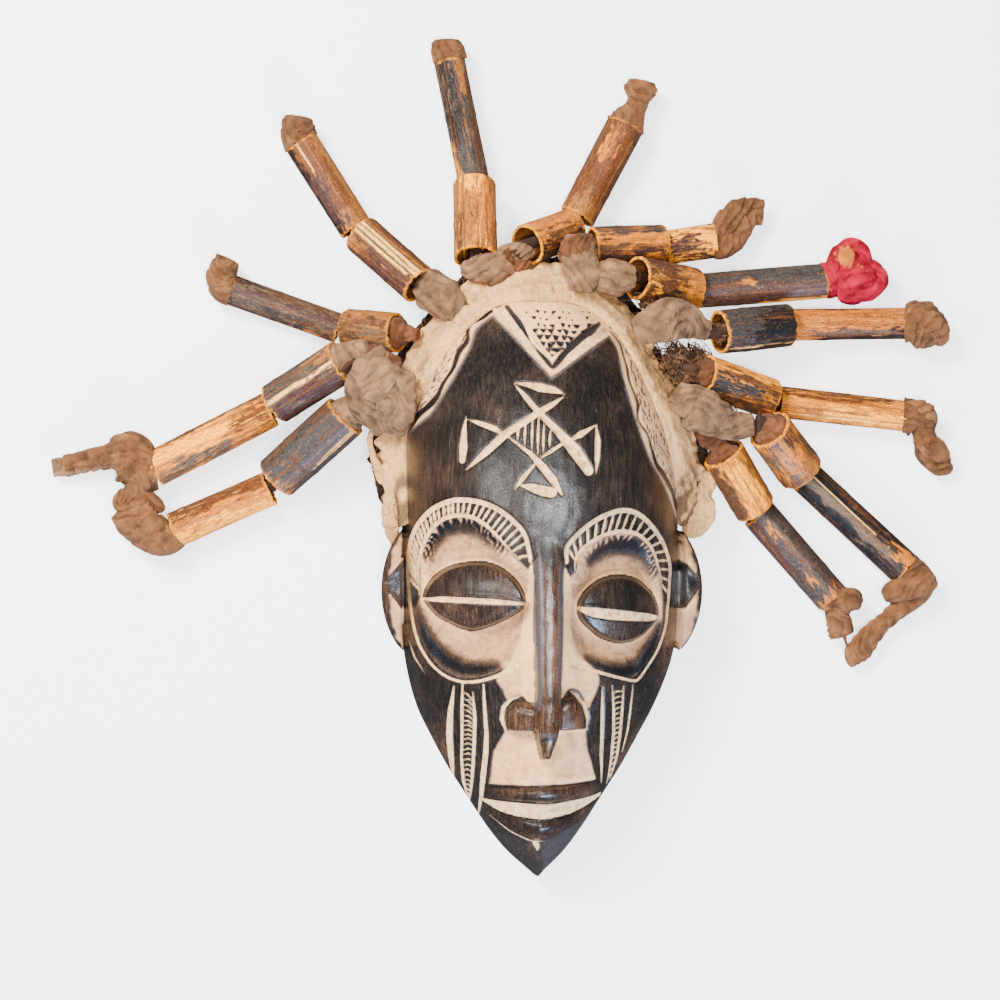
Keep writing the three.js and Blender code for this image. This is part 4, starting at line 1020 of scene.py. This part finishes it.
# What all canes share: points around and along, the bore as a share of the radius, the rounding of the rim, how
# far an outer cane goes into its inner one, how uneven and chipped the ends are, and how thick the ring is
caneShape = {"around": 96, "along": 110, "bore": 0.85, "rim": 0.3, "entry": 2.2, "askew": 0.7, "chips": 1.2,
             "ring": 0.022}
caneTones = {
    "black": (0.008, 0.008, 0.009), "slate": (0.034, 0.030, 0.028), "plum": (0.046, 0.021, 0.020),
    "umber": (0.072, 0.031, 0.015), "grey": (0.098, 0.064, 0.038), "ochre": (0.53, 0.152, 0.009),
    "gold": (0.98, 0.335, 0.006), "cream": (0.90, 0.47, 0.12), "copper": (0.46, 0.124, 0.014),
    "tan": (0.26, 0.092, 0.018), "rust": (0.115, 0.034, 0.010),
    "soil": (0.022, 0.013, 0.010), "stain": (0.125, 0.042, 0.013), "specks": (0.52, 0.22, 0.040),
}


# Stained cane. coat is the outer colour, bare what shows where it has worn through, worn how much of it has,
# and run the UV map: the way around and along the cane in centimetres. Noise that is stretched along the cane
# wears it through, soils and stains it and lights thin lines; specks and flecks aren't stretched. gloss is
# its lowest roughness, and shine its specular level.
def makeCaneMaterial(name, gloss, shine):
    material, shader = newMaterial(name, specular=shine)
    run = addNode("UVMap", uv_map="run").outputs["UV"]
    wide, stretched, lengthwise = (
        addNode("Mapping", {"Vector": run, "Scale": (1.0, along, 1.0)}).outputs["Vector"]
        for along in (0.35, 0.09, 0.035))
    fibres = addNoise(stretched, 26.0, 3.0, 0.6)
    flecks = addNoise(inMillimetres(), 0.9, 6.0, 0.75)
    bare = readMark("bare", "Color")
    showing = addShares((addNoise(stretched, 7.0, 5.0, 0.65), 0.5), (addNoise(wide, 2.2, 6.0, 0.7, 0.3), 0.5),
                        (readMark("worn"), 0.5))
    color = blendColor(easeRange(showing, 0.66, 0.74), readMark("coat", "Color"), bare)
    soiled = easeRange(addNoise(wide, 3.7, 6.0, 0.75, 0.4), 0.55, 0.66, 0.0, 0.75)
    color = blendColor(soiled, color, caneTones["soil"])
    stained = easeRange(addNoise(lengthwise, 4.5, 4.0, 0.65), 0.51, 0.62, 0.0, 0.68)
    color = blendColor(stained, color, caneTones["stain"])
    lit = easeRange(addNoise(lengthwise, 12.0, 3.0, 0.6), 0.58, 0.68, 0.0, 0.42)
    color = blendColor(lit, color, bare)
    color = shadeColor(color, addMath("MULTIPLY", easeRange(fibres, 0.32, 0.68, 0.60, 1.4),
                                      easeRange(flecks, 0.30, 0.72, 0.62, 1.42)))
    specks = easeRange(addNoise(inMillimetres(), 1.0, 4.0, 0.65), 0.62, 0.70, 0.0, 0.7)
    color = blendColor(specks, color, caneTones["specks"])
    connect(easeRange(flecks, 0.3, 0.7, gloss, gloss + 0.25), shader.inputs["Roughness"])
    joinShader(shader, color, addShares((fibres, 0.16), (showing, -0.3), (flecks, 0.12)))
    return material


# A cane from its two ends to its patches, which are angle,width,from,to,tone: degrees around the cane, 0 on
# top and positive on the right of someone who looks outwards along it, and shares of its length
def cane(ends, radius, coat, bare, worn, patches):
    near, far = path(ends)
    patches = [patch.split(",") for patch in patches.split()]
    return {"near": near, "far": far, "radius": radius, "coat": coat, "bare": bare, "worn": worn,
            "patches": [([float(number) for number in numbers], tone) for *numbers, tone in patches]}


# The twelve locks, from the lower left over the top. root is where the strip is tied to the net, and knot its
# knot at the tip, both as x,y,z,width,thickness.
locks = [
    {"inner": cane("-93,87,27 -127,57,13", 11.4, "slate", "umber", 0.3,
              "-48,12,0,0.5,cream -20,60,0.86,1,tan 0,70,0.25,0.8,slate -30,40,0.55,0.85,umber "
              "60,60,0,0.2,umber"),
     "outer": cane("-131.5,51.6,9.6 -177,31.7,9.1", 8.8, "ochre", "cream", 0.2,
              "70,60,0,1,umber 28,34,0,1,rust -5,12,0.1,1,copper -60,70,0,1,gold"),
     "root": path("-83,94,34,8,9 -88,91,31,11,12"),
     "knot": path("-181,29,9,18,15 -188,31.5,9.3,17.5,16 -196,37,9.3,16,15 -201,43,9,12,12")},
    {"inner": cane("-94.6,112.3,34 -127.5,92.6,16", 10.6, "plum", "grey", 0.3,
              "50,90,0,1,slate 6,12,0,1,cream -50,50,0.2,0.9,plum 40,60,0,0.25,tan"),
     "outer": cane("-131,89.4,10 -186,61,9.1", 8.9, "ochre", "gold", 0.22,
              "-50,60,0.1,1,grey 0,70,0,0.3,rust 75,40,0,1,umber -40,40,0,0.35,ochre 20,50,0.35,1,gold"),
     "root": path("-70,98,44,17,14 -78,103,42,22,17 -88,108,38,17,15"),
     "knot": path("-191,61,9.6,20,16 -198,67,10,24,17 -209,67.5,8,11,9 -231,63,5,9,5")},
    {"inner": cane("-68.5,125.8,29 -93.5,129.2,14", 9.6, "umber", "tan", 0.32,
              "60,50,0,1,tan -20,60,0,0.6,grey"),
     "outer": cane("-98,129.6,8.6 -149.7,147.9,7.6", 7.3, "umber", "grey", 0.34,
              "-60,40,0.6,0.85,ochre -30,40,0.8,0.93,ochre 60,60,0.7,1,black 10,50,0,1,plum "
              "-70,30,0.1,0.5,ochre -45,70,0.3,1,slate"),
     "root": path("-59,124.5,33,6,6 -64,125.4,31,8,8"),
     "knot": path("-151.8,149,7.9,15.5,14 -153.6,155,8.2,15,14 -150,163,7.5,11,10")},
    {"inner": cane("-57.8,147.9,28 -86.4,174.3,12.5", 10, "umber", "ochre", 0.22,
              "10,9,0,1,cream 24,9,0,1,cream -4,7,0.05,1,cream 38,8,0.1,1,tan -55,60,0,0.7,plum "
              "-40,40,0.75,1,tan"),
     "outer": cane("-89.5,178.2,8.7 -115.7,219.7,8.5", 8.2, "rust", "tan", 0.24,
              "-75,60,0,1,black -20,5,0.5,1,cream 8,5,0.3,0.95,tan 60,40,0,1,tan 0,80,0,0.25,tan "
              "-35,50,0.1,0.6,plum"),
     "root": path("-45,138,32,13,7 -52,143,30.5,14,11"),
     "knot": path("-116.6,221.8,8.4,16.5,15.5 -117,226,8.3,16,15 -116.5,230.5,7.6,13,11")},
    {"inner": cane("-31.7,160.5,30 -31.8,198.7,12.5", 10.6, "tan", "gold", 0.26,
              "-20,50,0.8,1,gold 30,40,0.1,0.9,copper -60,40,0,0.5,umber"),
     "outer": cane("-32.4,202.5,9.6 -44,259.7,8", 7.5, "slate", "grey", 0.28,
              "-14,26,0.84,0.93,ochre 65,55,0,1,umber -60,30,0,0.3,ochre 10,5,0.3,0.7,tan 35,30,0.7,1,tan "
              "-30,70,0.3,1,black"),
     "root": path("-15,156,27,9,10 -23,154.5,30,14,12 -31,156,31,12,11"),
     "knot": path("-44.3,261.5,8,15.6,14.8 -44.8,265,8,15.4,14 -44.9,268.2,7.8,13.5,11")},
    {"inner": cane("-8,167.5,30 15.2,177.2,12.5", 10.2, "ochre", "tan", 0.3,
              "60,90,0,1,black 10,40,0.2,1,umber -50,60,0,1,copper"),
     "outer": cane("18.4,184.6,10 41.6,228.5,9.6", 9.3, "rust", "tan", 0.2,
              "-18,36,0.6,0.82,ochre 45,8,0,0.9,tan 70,40,0,1,umber 0,120,0,0.2,tan 0,140,0.93,1,umber "
              "-60,40,0.1,0.9,umber"),
     "root": path("-20,160,30,8,8 -14,162,31,11,11"),
     "knot": path("43.4,231.5,9.4,15,14 46.8,238,9.4,10,10 48.6,245,9.5,15,12 49.6,249.5,9.5,12,10")},
    {"inner": cane("23.4,167.6,23 59.2,170.2,12.5", 9.6, "umber", "ochre", 0.3,
              "-62,70,0,1,slate -14,30,0.1,1,ochre 50,60,0,1,plum"),
     "outer": cane("62,168.9,9.3 85.8,172.6,9", 8.6, "plum", "gold", 0.28,
              "-30,60,0.2,1,gold 20,50,0.7,1,gold 60,40,0,0.3,gold 5,60,0,0.6,plum"),
     "root": path("18,150,38,14,8 17,159,36,15,11 19,166,29,13,11"),
     "knot": path("88.5,172.8,9.4,18,12 93,178,9.6,20,10 98.5,183.5,9.4,15,8 104,186,8.6,12,6 "
              "108.8,186,7.6,13,4")},
    {"inner": cane("44,152,34 73.8,148,14", 10.6, "umber", "tan", 0.3,
              "10,130,0.62,1,ochre 70,50,0,0.7,black -60,60,0,0.6,plum 10,40,0.05,0.2,gold"),
     "outer": cane("77.5,147.8,9.4 139,152.9,8.8", 8.5, "umber", "grey", 0.24,
              "-50,90,0,1,slate -18,26,0.36,0.46,ochre 30,60,0,1,plum 80,34,0.5,1,gold"),
     "root": path("25,152.5,42,13,9 33,151.5,39.5,16,14 41,151.5,36,13,13"),
     "knot": path("144.6,154.7,8.6,17.6,15 149.8,154.3,9.8,25.5,17.6 158.5,155.2,9.3,21.1,15.8 "
              "163.7,156.9,8.4,11.4,10.6")},
    {"inner": cane("84,126.6,27 120.4,131.3,13", 10.6, "slate", "umber", 0.16,
              "62,11,0.12,1,cream 80,30,0,1,black 0,100,0.3,1,black -30,60,0.1,0.5,slate"),
     "outer": cane("124,131.6,8.6 179.1,132.6,8.2", 7.9, "copper", "tan", 0.18,
              "60,60,0.2,1,black 34,20,0.15,0.8,grey -80,30,0,0.6,plum"),
     "root": path("49,128,42,17,6 61,131,38,17,9 70,128.5,32,9,7 79,127,28.5,9,8"),
     "knot": path("182.5,132.4,9.6,21,17 188,131,9.8,22,18 195,129.5,9,13,12 199.5,129,8,3,3")},
    {"inner": cane("76,106.4,30 111.7,95.5,13.5", 10.2, "tan", "ochre", 0.3,
              "-60,60,0,1,gold 10,80,0,0.75,slate 60,60,0.1,0.8,umber 10,90,0.82,1,umber"),
     "outer": cane("117.5,94,8.6 177.6,87.4,8.2", 7.9, "ochre", "gold", 0.24,
              "-62,50,0,0.9,umber -28,16,0,0.75,rust 12,8,0,0.8,tan 30,50,0.35,1,gold 80,30,0,0.6,umber "
              "40,6,0.1,0.7,cream"),
     "root": path("67,107,33,6,5 73,106.6,31.5,8,8"),
     "knot": path("181,87,9,17,14 185.5,84.5,9,15.5,13 187,78,9,10.5,10 189.5,71.5,8.5,15,8 194,66,7.5,14,6 "
              "198.5,61.5,6,8,4 199.8,59.5,5,3,3")},
    {"inner": cane("108,80.5,30 126.3,60.2,13.5", 11.4, "umber", "ochre", 0.34,
              "40,90,0,0.6,grey 0,50,0.3,0.7,ochre -20,70,0.6,1,tan 20,60,0,0.3,plum -75,40,0,1,slate"),
     # on this outer cane the grey stripe along the top is a painted sheen, and the thin cream line by it a
     # painted highlight
     "outer": cane("129.3,57.6,9.6 178.1,12.6,8.8", 8.5, "black", "grey", 0.18,
              "8,30,0,0.85,grey -12,4,0,0.7,cream -20,60,0.86,1,ochre 60,60,0,1,black"),
     "root": path("66,88,44,14,6 76,86,38,16,9 90,82,32,13,8 101,83,33,9,8"),
     "knot": path("181.5,10,8.8,16,14 184,5,8.8,15,12 181,-1.5,8.4,11,9 173,-8,7.4,9,7 165,-15.5,6.8,9,6 "
              "158,-23.5,6.5,12,6 153.5,-29.5,6,11,6 151.8,-35,5,2.6,3")},
    {"inner": cane("86.3,69.4,26 103.9,42.7,13", 10.6, "ochre", "tan", 0.22,
              "60,50,0,1,umber -10,60,0.1,0.9,gold -70,40,0,1,tan"),
     # on this outer cane the thin grey stripe at -8 degrees is a painted highlight
     "outer": cane("106.7,39.4,9.4 142.9,-1.9,8.9", 8.6, "slate", "plum", 0.3,
              "12,24,0.16,0.28,ochre 50,24,0.1,0.26,ochre 24,26,0.68,0.8,ochre -8,14,0.1,0.6,grey "
              "60,50,0,0.6,plum 0,120,0.93,1,copper"),
     "root": path("76.5,80.5,30,10,6 81,76,27.5,11,9"),
     "knot": path("144.6,-4.5,9,13.5,13 144.5,-9,8.8,11.5,10 146,-14,8,12,6 147.8,-20,6.5,12.5,4")},
]
# canes of the paler, less glossy kind
paleCanes = ["01_outer", "02_outer", "05_inner", "06_inner", "07_outer", "09_outer", "10_inner", "10_outer",
             "12_inner"]


# A cane is a closed skin: the outer wall, a rounded rim, the bore and the other rim, carried around the axis.
# The radius varies a little around and along as sums of waves, with one ring where it is thicker, and each
# end is cut slightly askew and chipped.
def makeCane(cane, entry, seed):
    near, far = np.array(cane["near"]), np.array(cane["far"])
    along = toward(near, far)
    near = near - along * entry
    length = np.linalg.norm(far - near)
    side, up = acrossLine(along)
    rim, bore, count = caneShape["rim"], caneShape["bore"], caneShape["along"]
    wall = np.linspace(rim, length - rim, count)
    reach = np.concatenate([wall, [length - 0.08, length, length, length - 0.1],
                            np.linspace(length - 0.6, 0.6, 12), [0.1, 0, 0, 0.08], wall[:1]])
    share = np.concatenate([np.ones(count), [0.985, 0.94, bore + 0.05, bore + 0.01],
                            np.full(12, bore), [bore + 0.01, bore + 0.05, 0.94, 0.985], [1.0]])
    angle = np.linspace(-np.pi, np.pi, caneShape["around"] + 1)[:, None]
    source = np.random.default_rng(seed)
    phase = source.uniform(0, 6.3, 8)
    t = reach / length
    shape = (0.020 * np.cos(2 * angle + phase[0]) + 0.010 * np.cos(3 * angle + phase[1] + t)
             + 0.006 * np.cos(7 * angle + phase[2]) + 0.012 * np.sin(4 * t + phase[3]) - 0.012)
    ring = np.exp(-(((t - source.uniform(0.15, 0.85)) * length / 1.6) ** 2)) * (share > 0.9)
    radius = cane["radius"] * share * (1 + shape + caneShape["ring"] * ring)
    askew = caneShape["askew"] * (np.cos(angle + phase[4]) * t**6 + np.cos(angle + phase[5]) * (1 - t) ** 6)
    chips = np.clip(np.sin(9 * angle + phase[6]) * np.sin(5 * angle + phase[7]) - 0.35, 0, 1)
    chips = chips * caneShape["chips"] * ((1 - t) ** 20 - t**20)
    shift = askew * 0.8 + chips - 0.5 * t**6 + 0.5 * (1 - t) ** 6
    points = (near + along * (reach + shift)[..., None] + up * (radius * np.cos(angle))[..., None]
              + side * (radius * np.sin(angle))[..., None])
    points[..., 2] = np.maximum(points[..., 2], 0.15)
    degrees = np.degrees(angle) + 0 * t
    coat, bare = (np.array(caneTones[cane[key]]) + np.zeros(degrees.shape + (3,)) for key in ("coat", "bare"))
    worn = np.full(degrees.shape, cane["worn"])
    # each patch is frayed by drift that is stretched along the cane, as wear is
    skin = np.stack([cane["radius"] * angle + 0 * t, reach / 4 + 0 * angle, 0 * degrees + seed], -1)
    fray = 9 * drift(skin, 4.5, seed) + 7 * drift(skin, 1.6, seed + 1)
    frayAlong = (2.2 * drift(skin, 3.5, seed + 2) + 1.6 * drift(skin, 1.3, seed + 3)) / length
    for (middle, width, start, end), tone in cane["patches"]:
        away = abs((degrees + min(1, (width / 40) ** 2) * fray - middle + 180) % 360 - 180)
        soft = min(10, 0.35 * width)
        weight = (smoothStep((width / 2 - away) / soft + 0.5)
                  * smoothStep((t + frayAlong - start) / 0.03 + (0.5 if start > 0 else 9))
                  * smoothStep((end - t - frayAlong) / 0.03 + (0.5 if end < 1 else 9)))[..., None]
        coat = coat * (1 - weight) + np.array(caneTones[tone]) * weight
    # the cut ends show the pale inside of the cane, and the bore is a darker brown
    cutFace = ((share < 0.99) & (share > bore + 0.005))[None] + 0 * degrees
    inside = (share <= bore + 0.005)[None] + 0 * degrees
    chafed = smoothStep(1.1 - np.minimum(reach, length - reach) / 1.4 + 0.03 * fray) * 0.75
    pale = np.maximum(cutFace, chafed * (1 - inside))[..., None]
    coat = coat * (1 - pale) + np.array(caneTones["gold"]) * 0.7 * pale
    coat = np.where(inside[..., None] > 0, np.array(caneTones["tan"]) * 0.55, coat)
    run = np.stack([angle * cane["radius"] / 10 + seed * 3.7 + 0 * t,
                    (np.cumsum(abs(np.gradient(reach))) / 10)[None] + 0 * angle], -1)
    return {"points": points, "run": run, "coat": coat, "bare": bare, "worn": worn}


darkCane = makeCaneMaterial("darkCane", 0.24, 0.28)
paleCane = makeCaneMaterial("paleCane", 0.34, 0.10)
for i, lock in enumerate(locks):
    for j, part in enumerate(("inner", "outer")):
        code = f"{i + 1:02d}_{part}"
        material, slot = (paleCane, "pale_cane") if code in paleCanes else (darkCane, "dark_cane")
        sheet = makeCane(lock[part], j * caneShape["entry"], 100 + 2 * i + j)
        makePiece(f"cane_{code}", [sheet], material, slot, [f"lock_{code}_cane"], 45)
print("canes made")


clothTones = {"brown": (0.158, 0.063, 0.022), "grey": (0.205, 0.105, 0.050), "dark": (0.045, 0.020, 0.010),
              "red": (0.31, 0.006, 0.021), "ochre": (0.56, 0.155, 0.024), "rust": (0.130, 0.047, 0.018)}


# Torn cloth with a coarse weave, blotches and fine dust. tint is its colour, with the folds' painted shade in
# it.
def makeClothMaterial(name, sheen):
    material, shader = newMaterial(name, 0.92, 0.08)
    shader.inputs["Sheen Weight"].default_value = sheen
    shader.inputs["Sheen Roughness"].default_value = 0.6
    blotch = addNoise(inMillimetres(), 0.16, 5.0, 0.65)
    fine = addNoise(inMillimetres(), 1.7, 5.0, 0.75)
    threads = {"Vector": inMillimetres((1, 1, 1), (20, 15, 35)), "Scale": 0.42, "Distortion": 1.2,
               "Detail": 2.0}
    weave = addMath("MULTIPLY", *(addNode("TexWave", threads, bands_direction=way).outputs["Fac"]
                                  for way in "XY"))
    shade = easeRange(addShares((blotch, 1.1), (fine, 0.5), (weave, 0.16)), 0.50, 1.20, 0.55, 1.45)
    color = shadeColor(readMark("tint", "Color"), shade)
    joinShader(shader, color, addShares((weave, 0.30), (fine, 0.42), (blotch, 1.0)))
    return material


# One fold of cloth in one tone, with painted shade: dark where a layer goes under the next one and in the
# crumples, lighter at the layers' raised edges
def makeFold(stops, tone, seed, layers, squareness=2.4, count=96, around=60, closeOver=3.0):
    points, shade = sweptBody(stops, count, around, layers, seed, squareness, closeOver)
    shade = np.clip(shade + 0.12 * drift(points, 9, seed + 7), 0.25, 1.5)
    return {"points": points, "tint": np.array(clothTones[tone]) * shade[..., None]}


# Ways that cloth lies: flat pleated straps, bands that cross a knot, a knot's bulk, the red cloth's puffs and
# the strand inside the canes. Each has a layer's width, the angle of its edges, their rise and the crumples.
strap, band, knotted = (5.4, 16, 1.1, 0.10), (3.8, 58, 0.8, 0.15), (4.6, 38, 1.0, 0.2)
puffed, strand = (6.5, 24, 0.45, 0.2), (2.4, 10, 0.4, 0.3)
# Folds added to each lock's strip, as (stops, tone, layers, squareness): where it is tied to the net, over
# its knot, and its torn tail
extras = {
    1: [("-177,24,12,3,3 -181,30,15.5,10,5 -188,38,16,10,5 -193,45,13,9,5 -194,49,9,4,4", "brown", band, 2.6),
        ("-197,40,10,8,8 -201,46,10,9,9 -194,50,11,9,9 -186,46,11,8,8 -181,41,9,4,4", "brown", knotted, 2.4)],
    2: [("-66,108,47,10.8,3 -68,101,48,15,4 -69,91,45,18,5 -70,83,39,15,4 "
         "-71,78,34,10.8,3", "grey", strap, 4.0),
        ("-73,115,40,10.8,4 -79,110,43,15,6 -83,101,42.5,19,7 -81,91,40,20,6 -77,84,36,14,5 "
         "-74,80,33,10.1,4", "grey", strap, 3.6),
        ("-90,117,30,4,4 -86,113,36,15,8 -80,110,40,20,8 -72,110,40,12,6 "
         "-67,109,40,5,4", "rust", knotted, 2.6),
        ("-207,67,7,10,5 -214,65.5,6.8,9,4.6 -222,64,6,9.4,3.6 -230,62.6,5.4,9.4,3.2 "
         "-234.6,61.9,5,9,2.6", "grey", strap, 4.5),
        ("-206,73,7,5,5 -201,73.5,11,9,8 -194,71,14.5,10,7 -188,67,14,8,6 "
         "-184,63,12,4,4", "brown", band, 2.4),
        ("-184,60,13,5,5 -190,57,14.5,10,7 -195,51,12,10,8 -194,46,9,7,6", "brown", band, 2.4)],
    3: [("-148,142,10,4,4 -151,148,13.5,9,5 -154,155,13.5,9,5 -152,161,11,6,5", "brown", band, 2.4)],
    4: [("-37,132,36,10.1,2 -42,137,36,14,3 -49,143,34.5,19,6 -55,148,31,17,7 "
         "-58,150,28,11,6", "grey", strap, 3.8)],
    5: [("-13,157,31,6,3 -19,158,33,12,5 -27,156.5,33,13,7 -34,156,31,11,8 "
         "-38,158,28,4,4", "grey", knotted, 2.6),
        ("-6,158,30,4,3 -12,160,31.5,10,5 -20,161,31,9,5 -25,160,30,4,3", "rust", band, 2.6)],
    6: [("-23,163,30,4,3 -16,164,33,9,4 -9,164,33,8,4 -4,163,31,3,3", "grey", band, 2.6)],
    7: [("17.5,144,42,10.8,3 18,150,43,15,4 17,158,41,17,6 16,166,36,15,6 "
         "16,171,30,10.8,5", "grey", strap, 3.4),
        ("9,158,38,4,3 12,162,40,12,5 18,167,38,12,6 24,170,33,6,4", "rust", band, 2.6),
        ("86,175,12,8,5 90,180.5,14,10,5 95,187,13,9,4 102,190,11.5,6,4 "
         "109,190.6,9,3.5,3", "brown", strap, 3.2)],
    8: [("142,150.8,9.3,10.6,10.6 143.3,157.8,11.2,10.6,11.4 145,164.7,11.2,9.7,10.6 "
         "150.7,169.5,11.2,8.8,10.6 156.3,166,12.1,7.9,10.6 157.2,159.9,11.2,7,7.9", "red", puffed, 2.3),
        ("155,161.2,11.2,6.2,7.9 160.7,158.6,11.2,8.8,9.7 164.6,153.4,11.2,8.8,10.6 "
         "160.2,148.6,11.2,9.7,10.6 152.8,147.3,11.2,9.7,11.4 145.9,149.9,10.2,9.7,10.6", "red", puffed, 2.3),
        ("144.6,155.2,14.9,7,4.4 150.7,154.3,17.2,10.6,5.3 157.6,153.9,16.3,10.6,5.3 "
         "162.8,154.3,13,5.3,4.4", "red", puffed, 2.4),
        ("144,160,12,12,8 147.5,164.5,13.2,15,9 150,168.5,11,9,7", "red", puffed, 2.3)],
    9: [("42,125,46,12.2,2 50,128,46.5,17,3 59,131.5,44,20,5 68,131,39,17,5 75,129,35,9,4 "
         "79,128,32,6.5,4", "grey", strap, 3.8),
        ("181,140,9,5,6 184.5,137,15,9,5 190,131.5,18,12,4 194,126,14,9,5 "
         "194.5,122.5,9,4,4", "brown", band, 2.4)],
    10: [("66,110,33,3,3 70,108.5,35,7,4 75,106,33,7,5", "dark", band, 2.8),
         ("177,92,12,5,4 183,91.5,13.5,8,5 188,88,13.5,8.5,5 189,82,12,6,4", "brown", strap, 2.6),
         ("184,75,11,6,4 190,71.5,12,9,4 195.5,69,10,8,3 199.5,68.5,8,4,2", "brown", strap, 3.2)],
    11: [("61,98,42,11.5,3 68,93,44,16,5 77,88.5,42,18,6 86,84.5,36.5,13,5 "
          "92,83,33,9.4,4", "grey", strap, 3.6),
         ("167,0,8.5,5,5 170.5,1.6,10.5,10,8 177,4.2,12.5,12.5,9 184,6,13,13.5,9 189.3,7,11,10,7 "
          "191.5,7.5,9,4,4", "brown", band, 2.4)],
    12: [("72,85,31,5,4 77,80,32,11,6 83,75,30,12,7 86,72,28,6,5", "rust", band, 2.6),
         ("139.5,-1,12,5,5 145,-1,13.5,9,7 150.5,-1.5,12,11.5,9 154.5,-3.2,9,7,7", "brown", band, 2.4),
         ("148.4,-19,6.4,2.2,1.8 149.4,-23,6.2,1.5,1.5 151.6,-27,6,1.5,1.5", "brown", band, 2.2)],
}
# What else the strips have: the strand's width, the knot's and the stuffing's widths as shares of their cane's
# radius, the locks with cloth stuffed into the inner cane's near mouth, the locks whose strip is rust brown
# where it is tied, the lock with red cloth, and the ochre patch on its knot
strips = {"strand": 5.6, "knot": 2.04, "stuffing": 1.72, "stuffed": (1, 2, 3, 10, 11, 12),
          "rust": (1, 3, 6, 10, 12), "red": 8, "patchMiddle": (147.2, 164.2), "patchRadius": 4.9}


# The strip of one lock: its root, the strand through both canes, its knot and the added folds
def makeStrip(number, lock):
    inner, outer = ([np.array(lock[part][end]) for end in ("near", "far")] for part in ("inner", "outer"))
    through = [[*point, strips["strand"], strips["strand"]] for point in (*inner, *outer)]
    # the knot is drawn over the outer cane's far mouth
    wide = strips["knot"] * lock["outer"]["radius"]
    knot = [[*(outer[1] - 1.7 * toward(*outer)), wide, wide]] + lock["knot"]
    tone, layers = ("red", puffed) if number == strips["red"] else ("brown", knotted)
    sheets = [makeFold(lock["root"], "rust" if number in strips["rust"] else "grey", 300 + number, knotted),
              makeFold([lock["root"][-1]] + through, "dark", 320 + number, strand, 2.4, 70, 24),
              makeFold(knot, tone, 340 + number, layers)]
    if number in strips["stuffed"]:
        # from inside the mouth outwards, further at the first two locks
        tone, longer = ("grey", 1.0) if number < 3 else ("rust", 0.42)
        stuffing = []
        for reach, share in ((8, 0.8), (3, 0.95), (-1.5 * longer, 0.86), (-6 * longer, 0.66),
                             (-11 * longer, 0.54), (-15 * longer, 0.3)):
            wide = share * strips["stuffing"] * lock["inner"]["radius"]
            stuffing.append([*(inner[0] + reach * toward(*inner)), wide, wide])
        sheets.append(makeFold(stuffing, tone, 345 + 3 * number, band))
    for k, (stops, tone, layers, squareness) in enumerate(extras[number]):
        closeOver = 2.0 if squareness > 3 else 4.0
        sheets.append(makeFold(stops, tone, 360 + 10 * number + k, layers, squareness, closeOver=closeOver))
    return sheets


# The ochre patch on the red knot: a round spot and a short dash, with edges frayed by drift
def paintPatch(sheet):
    x, y, z = np.moveaxis(sheet["points"], -1, 0)
    middleX, middleY = strips["patchMiddle"]
    spot = strips["patchRadius"] - np.hypot(x - middleX, 0.92 * (y - middleY))
    dash = 1.0 - abs(y - 160 + 0.75 * (x - 153)) / 0.8 - abs(x - 154) / 3.2
    inside = np.maximum(spot, dash) + 0.5 * drift(sheet["points"], 2.5, 77)
    weight = (smoothStep(inside / 0.8) * (z > 11))[..., None]
    sheet["tint"] = sheet["tint"] * (1 - weight) + np.array(clothTones["ochre"]) * weight


brownCloth = makeClothMaterial("brownCloth", 0.04)
redCloth = makeClothMaterial("redCloth", 0.0)
for number, lock in enumerate(locks, 1):
    sheets = makeStrip(number, lock)
    material, slot = brownCloth, "brown_cloth"
    if number == strips["red"]:
        material, slot = redCloth, "red_cloth"
        for sheet in sheets[2:]:
            paintPatch(sheet)
    makePiece(f"strip_{number:02d}", sheets, material, slot, [f"lock_{number:02d}_strip"])
print("cloth strips made")


# A pale floor that glows a little, a soft key light from the upper left, small lamps overhead for the sheen on
# the wood, a weak warm lamp on the left, and a bluish window light from below the chin. The key and the floor
# give no reflections. Lamps are name, place and size in metres, watts and colour.
studio = {"floor": (0.80, 0.80, 0.81), "glow": 1.9, "sky": 0.10, "half": 4.0,
          "lamps": [("key", (-0.70, 0.72, 1.15), 0.45, 66.0, (1, 0.99, 0.96)),
                    ("overhead", (0.08, -0.20, 1.29), 0.20, 17.0, (1, 1, 1)),
                    ("high", (-0.20, 0.46, 1.20), 0.14, 5.0, (1, 1, 1)),
                    ("left", (-0.85, -0.05, 0.95), 0.30, 9.0, (1, 0.97, 0.93)),
                    ("window", (0.30, -1.05, 0.55), 0.42, 29.0, (0.52, 0.68, 1.0))]}


def makeStudio():
    half = studio["half"]
    mesh = bpy.data.meshes.new("floor")
    corners = [(-half, -half, 0), (half, -half, 0), (half, half, 0), (-half, half, 0)]
    mesh.from_pydata(corners, [], [(0, 1, 2, 3)])
    floor = addObject("floor", mesh)
    material, shader = newMaterial("paleFloor", 0.9)
    shader.inputs["Base Color"].default_value = (*studio["floor"], 1)
    shader.inputs["Emission Color"].default_value = (1, 1, 1, 1)
    shader.inputs["Emission Strength"].default_value = studio["glow"]
    mesh.materials.append(material)
    floor.visible_glossy = False
    world = bpy.data.worlds.new("studio")
    bpy.context.scene.world = world
    world.use_nodes = True
    background = world.node_tree.nodes["Background"]
    background.inputs["Color"].default_value = (1, 1, 1, 1)
    background.inputs["Strength"].default_value = studio["sky"]
    for name, where, size, power, color in studio["lamps"]:
        data = bpy.data.lights.new(name, "AREA")
        data.energy, data.size, data.color = power, size, color
        lamp = addObject(name, data)
        lamp.location = where
        lamp.visible_glossy = name != "key"
        lamp.rotation_euler = (-Vector(where)).to_track_quat("-Z", "Y").to_euler()


makeStudio()
print("studio set")
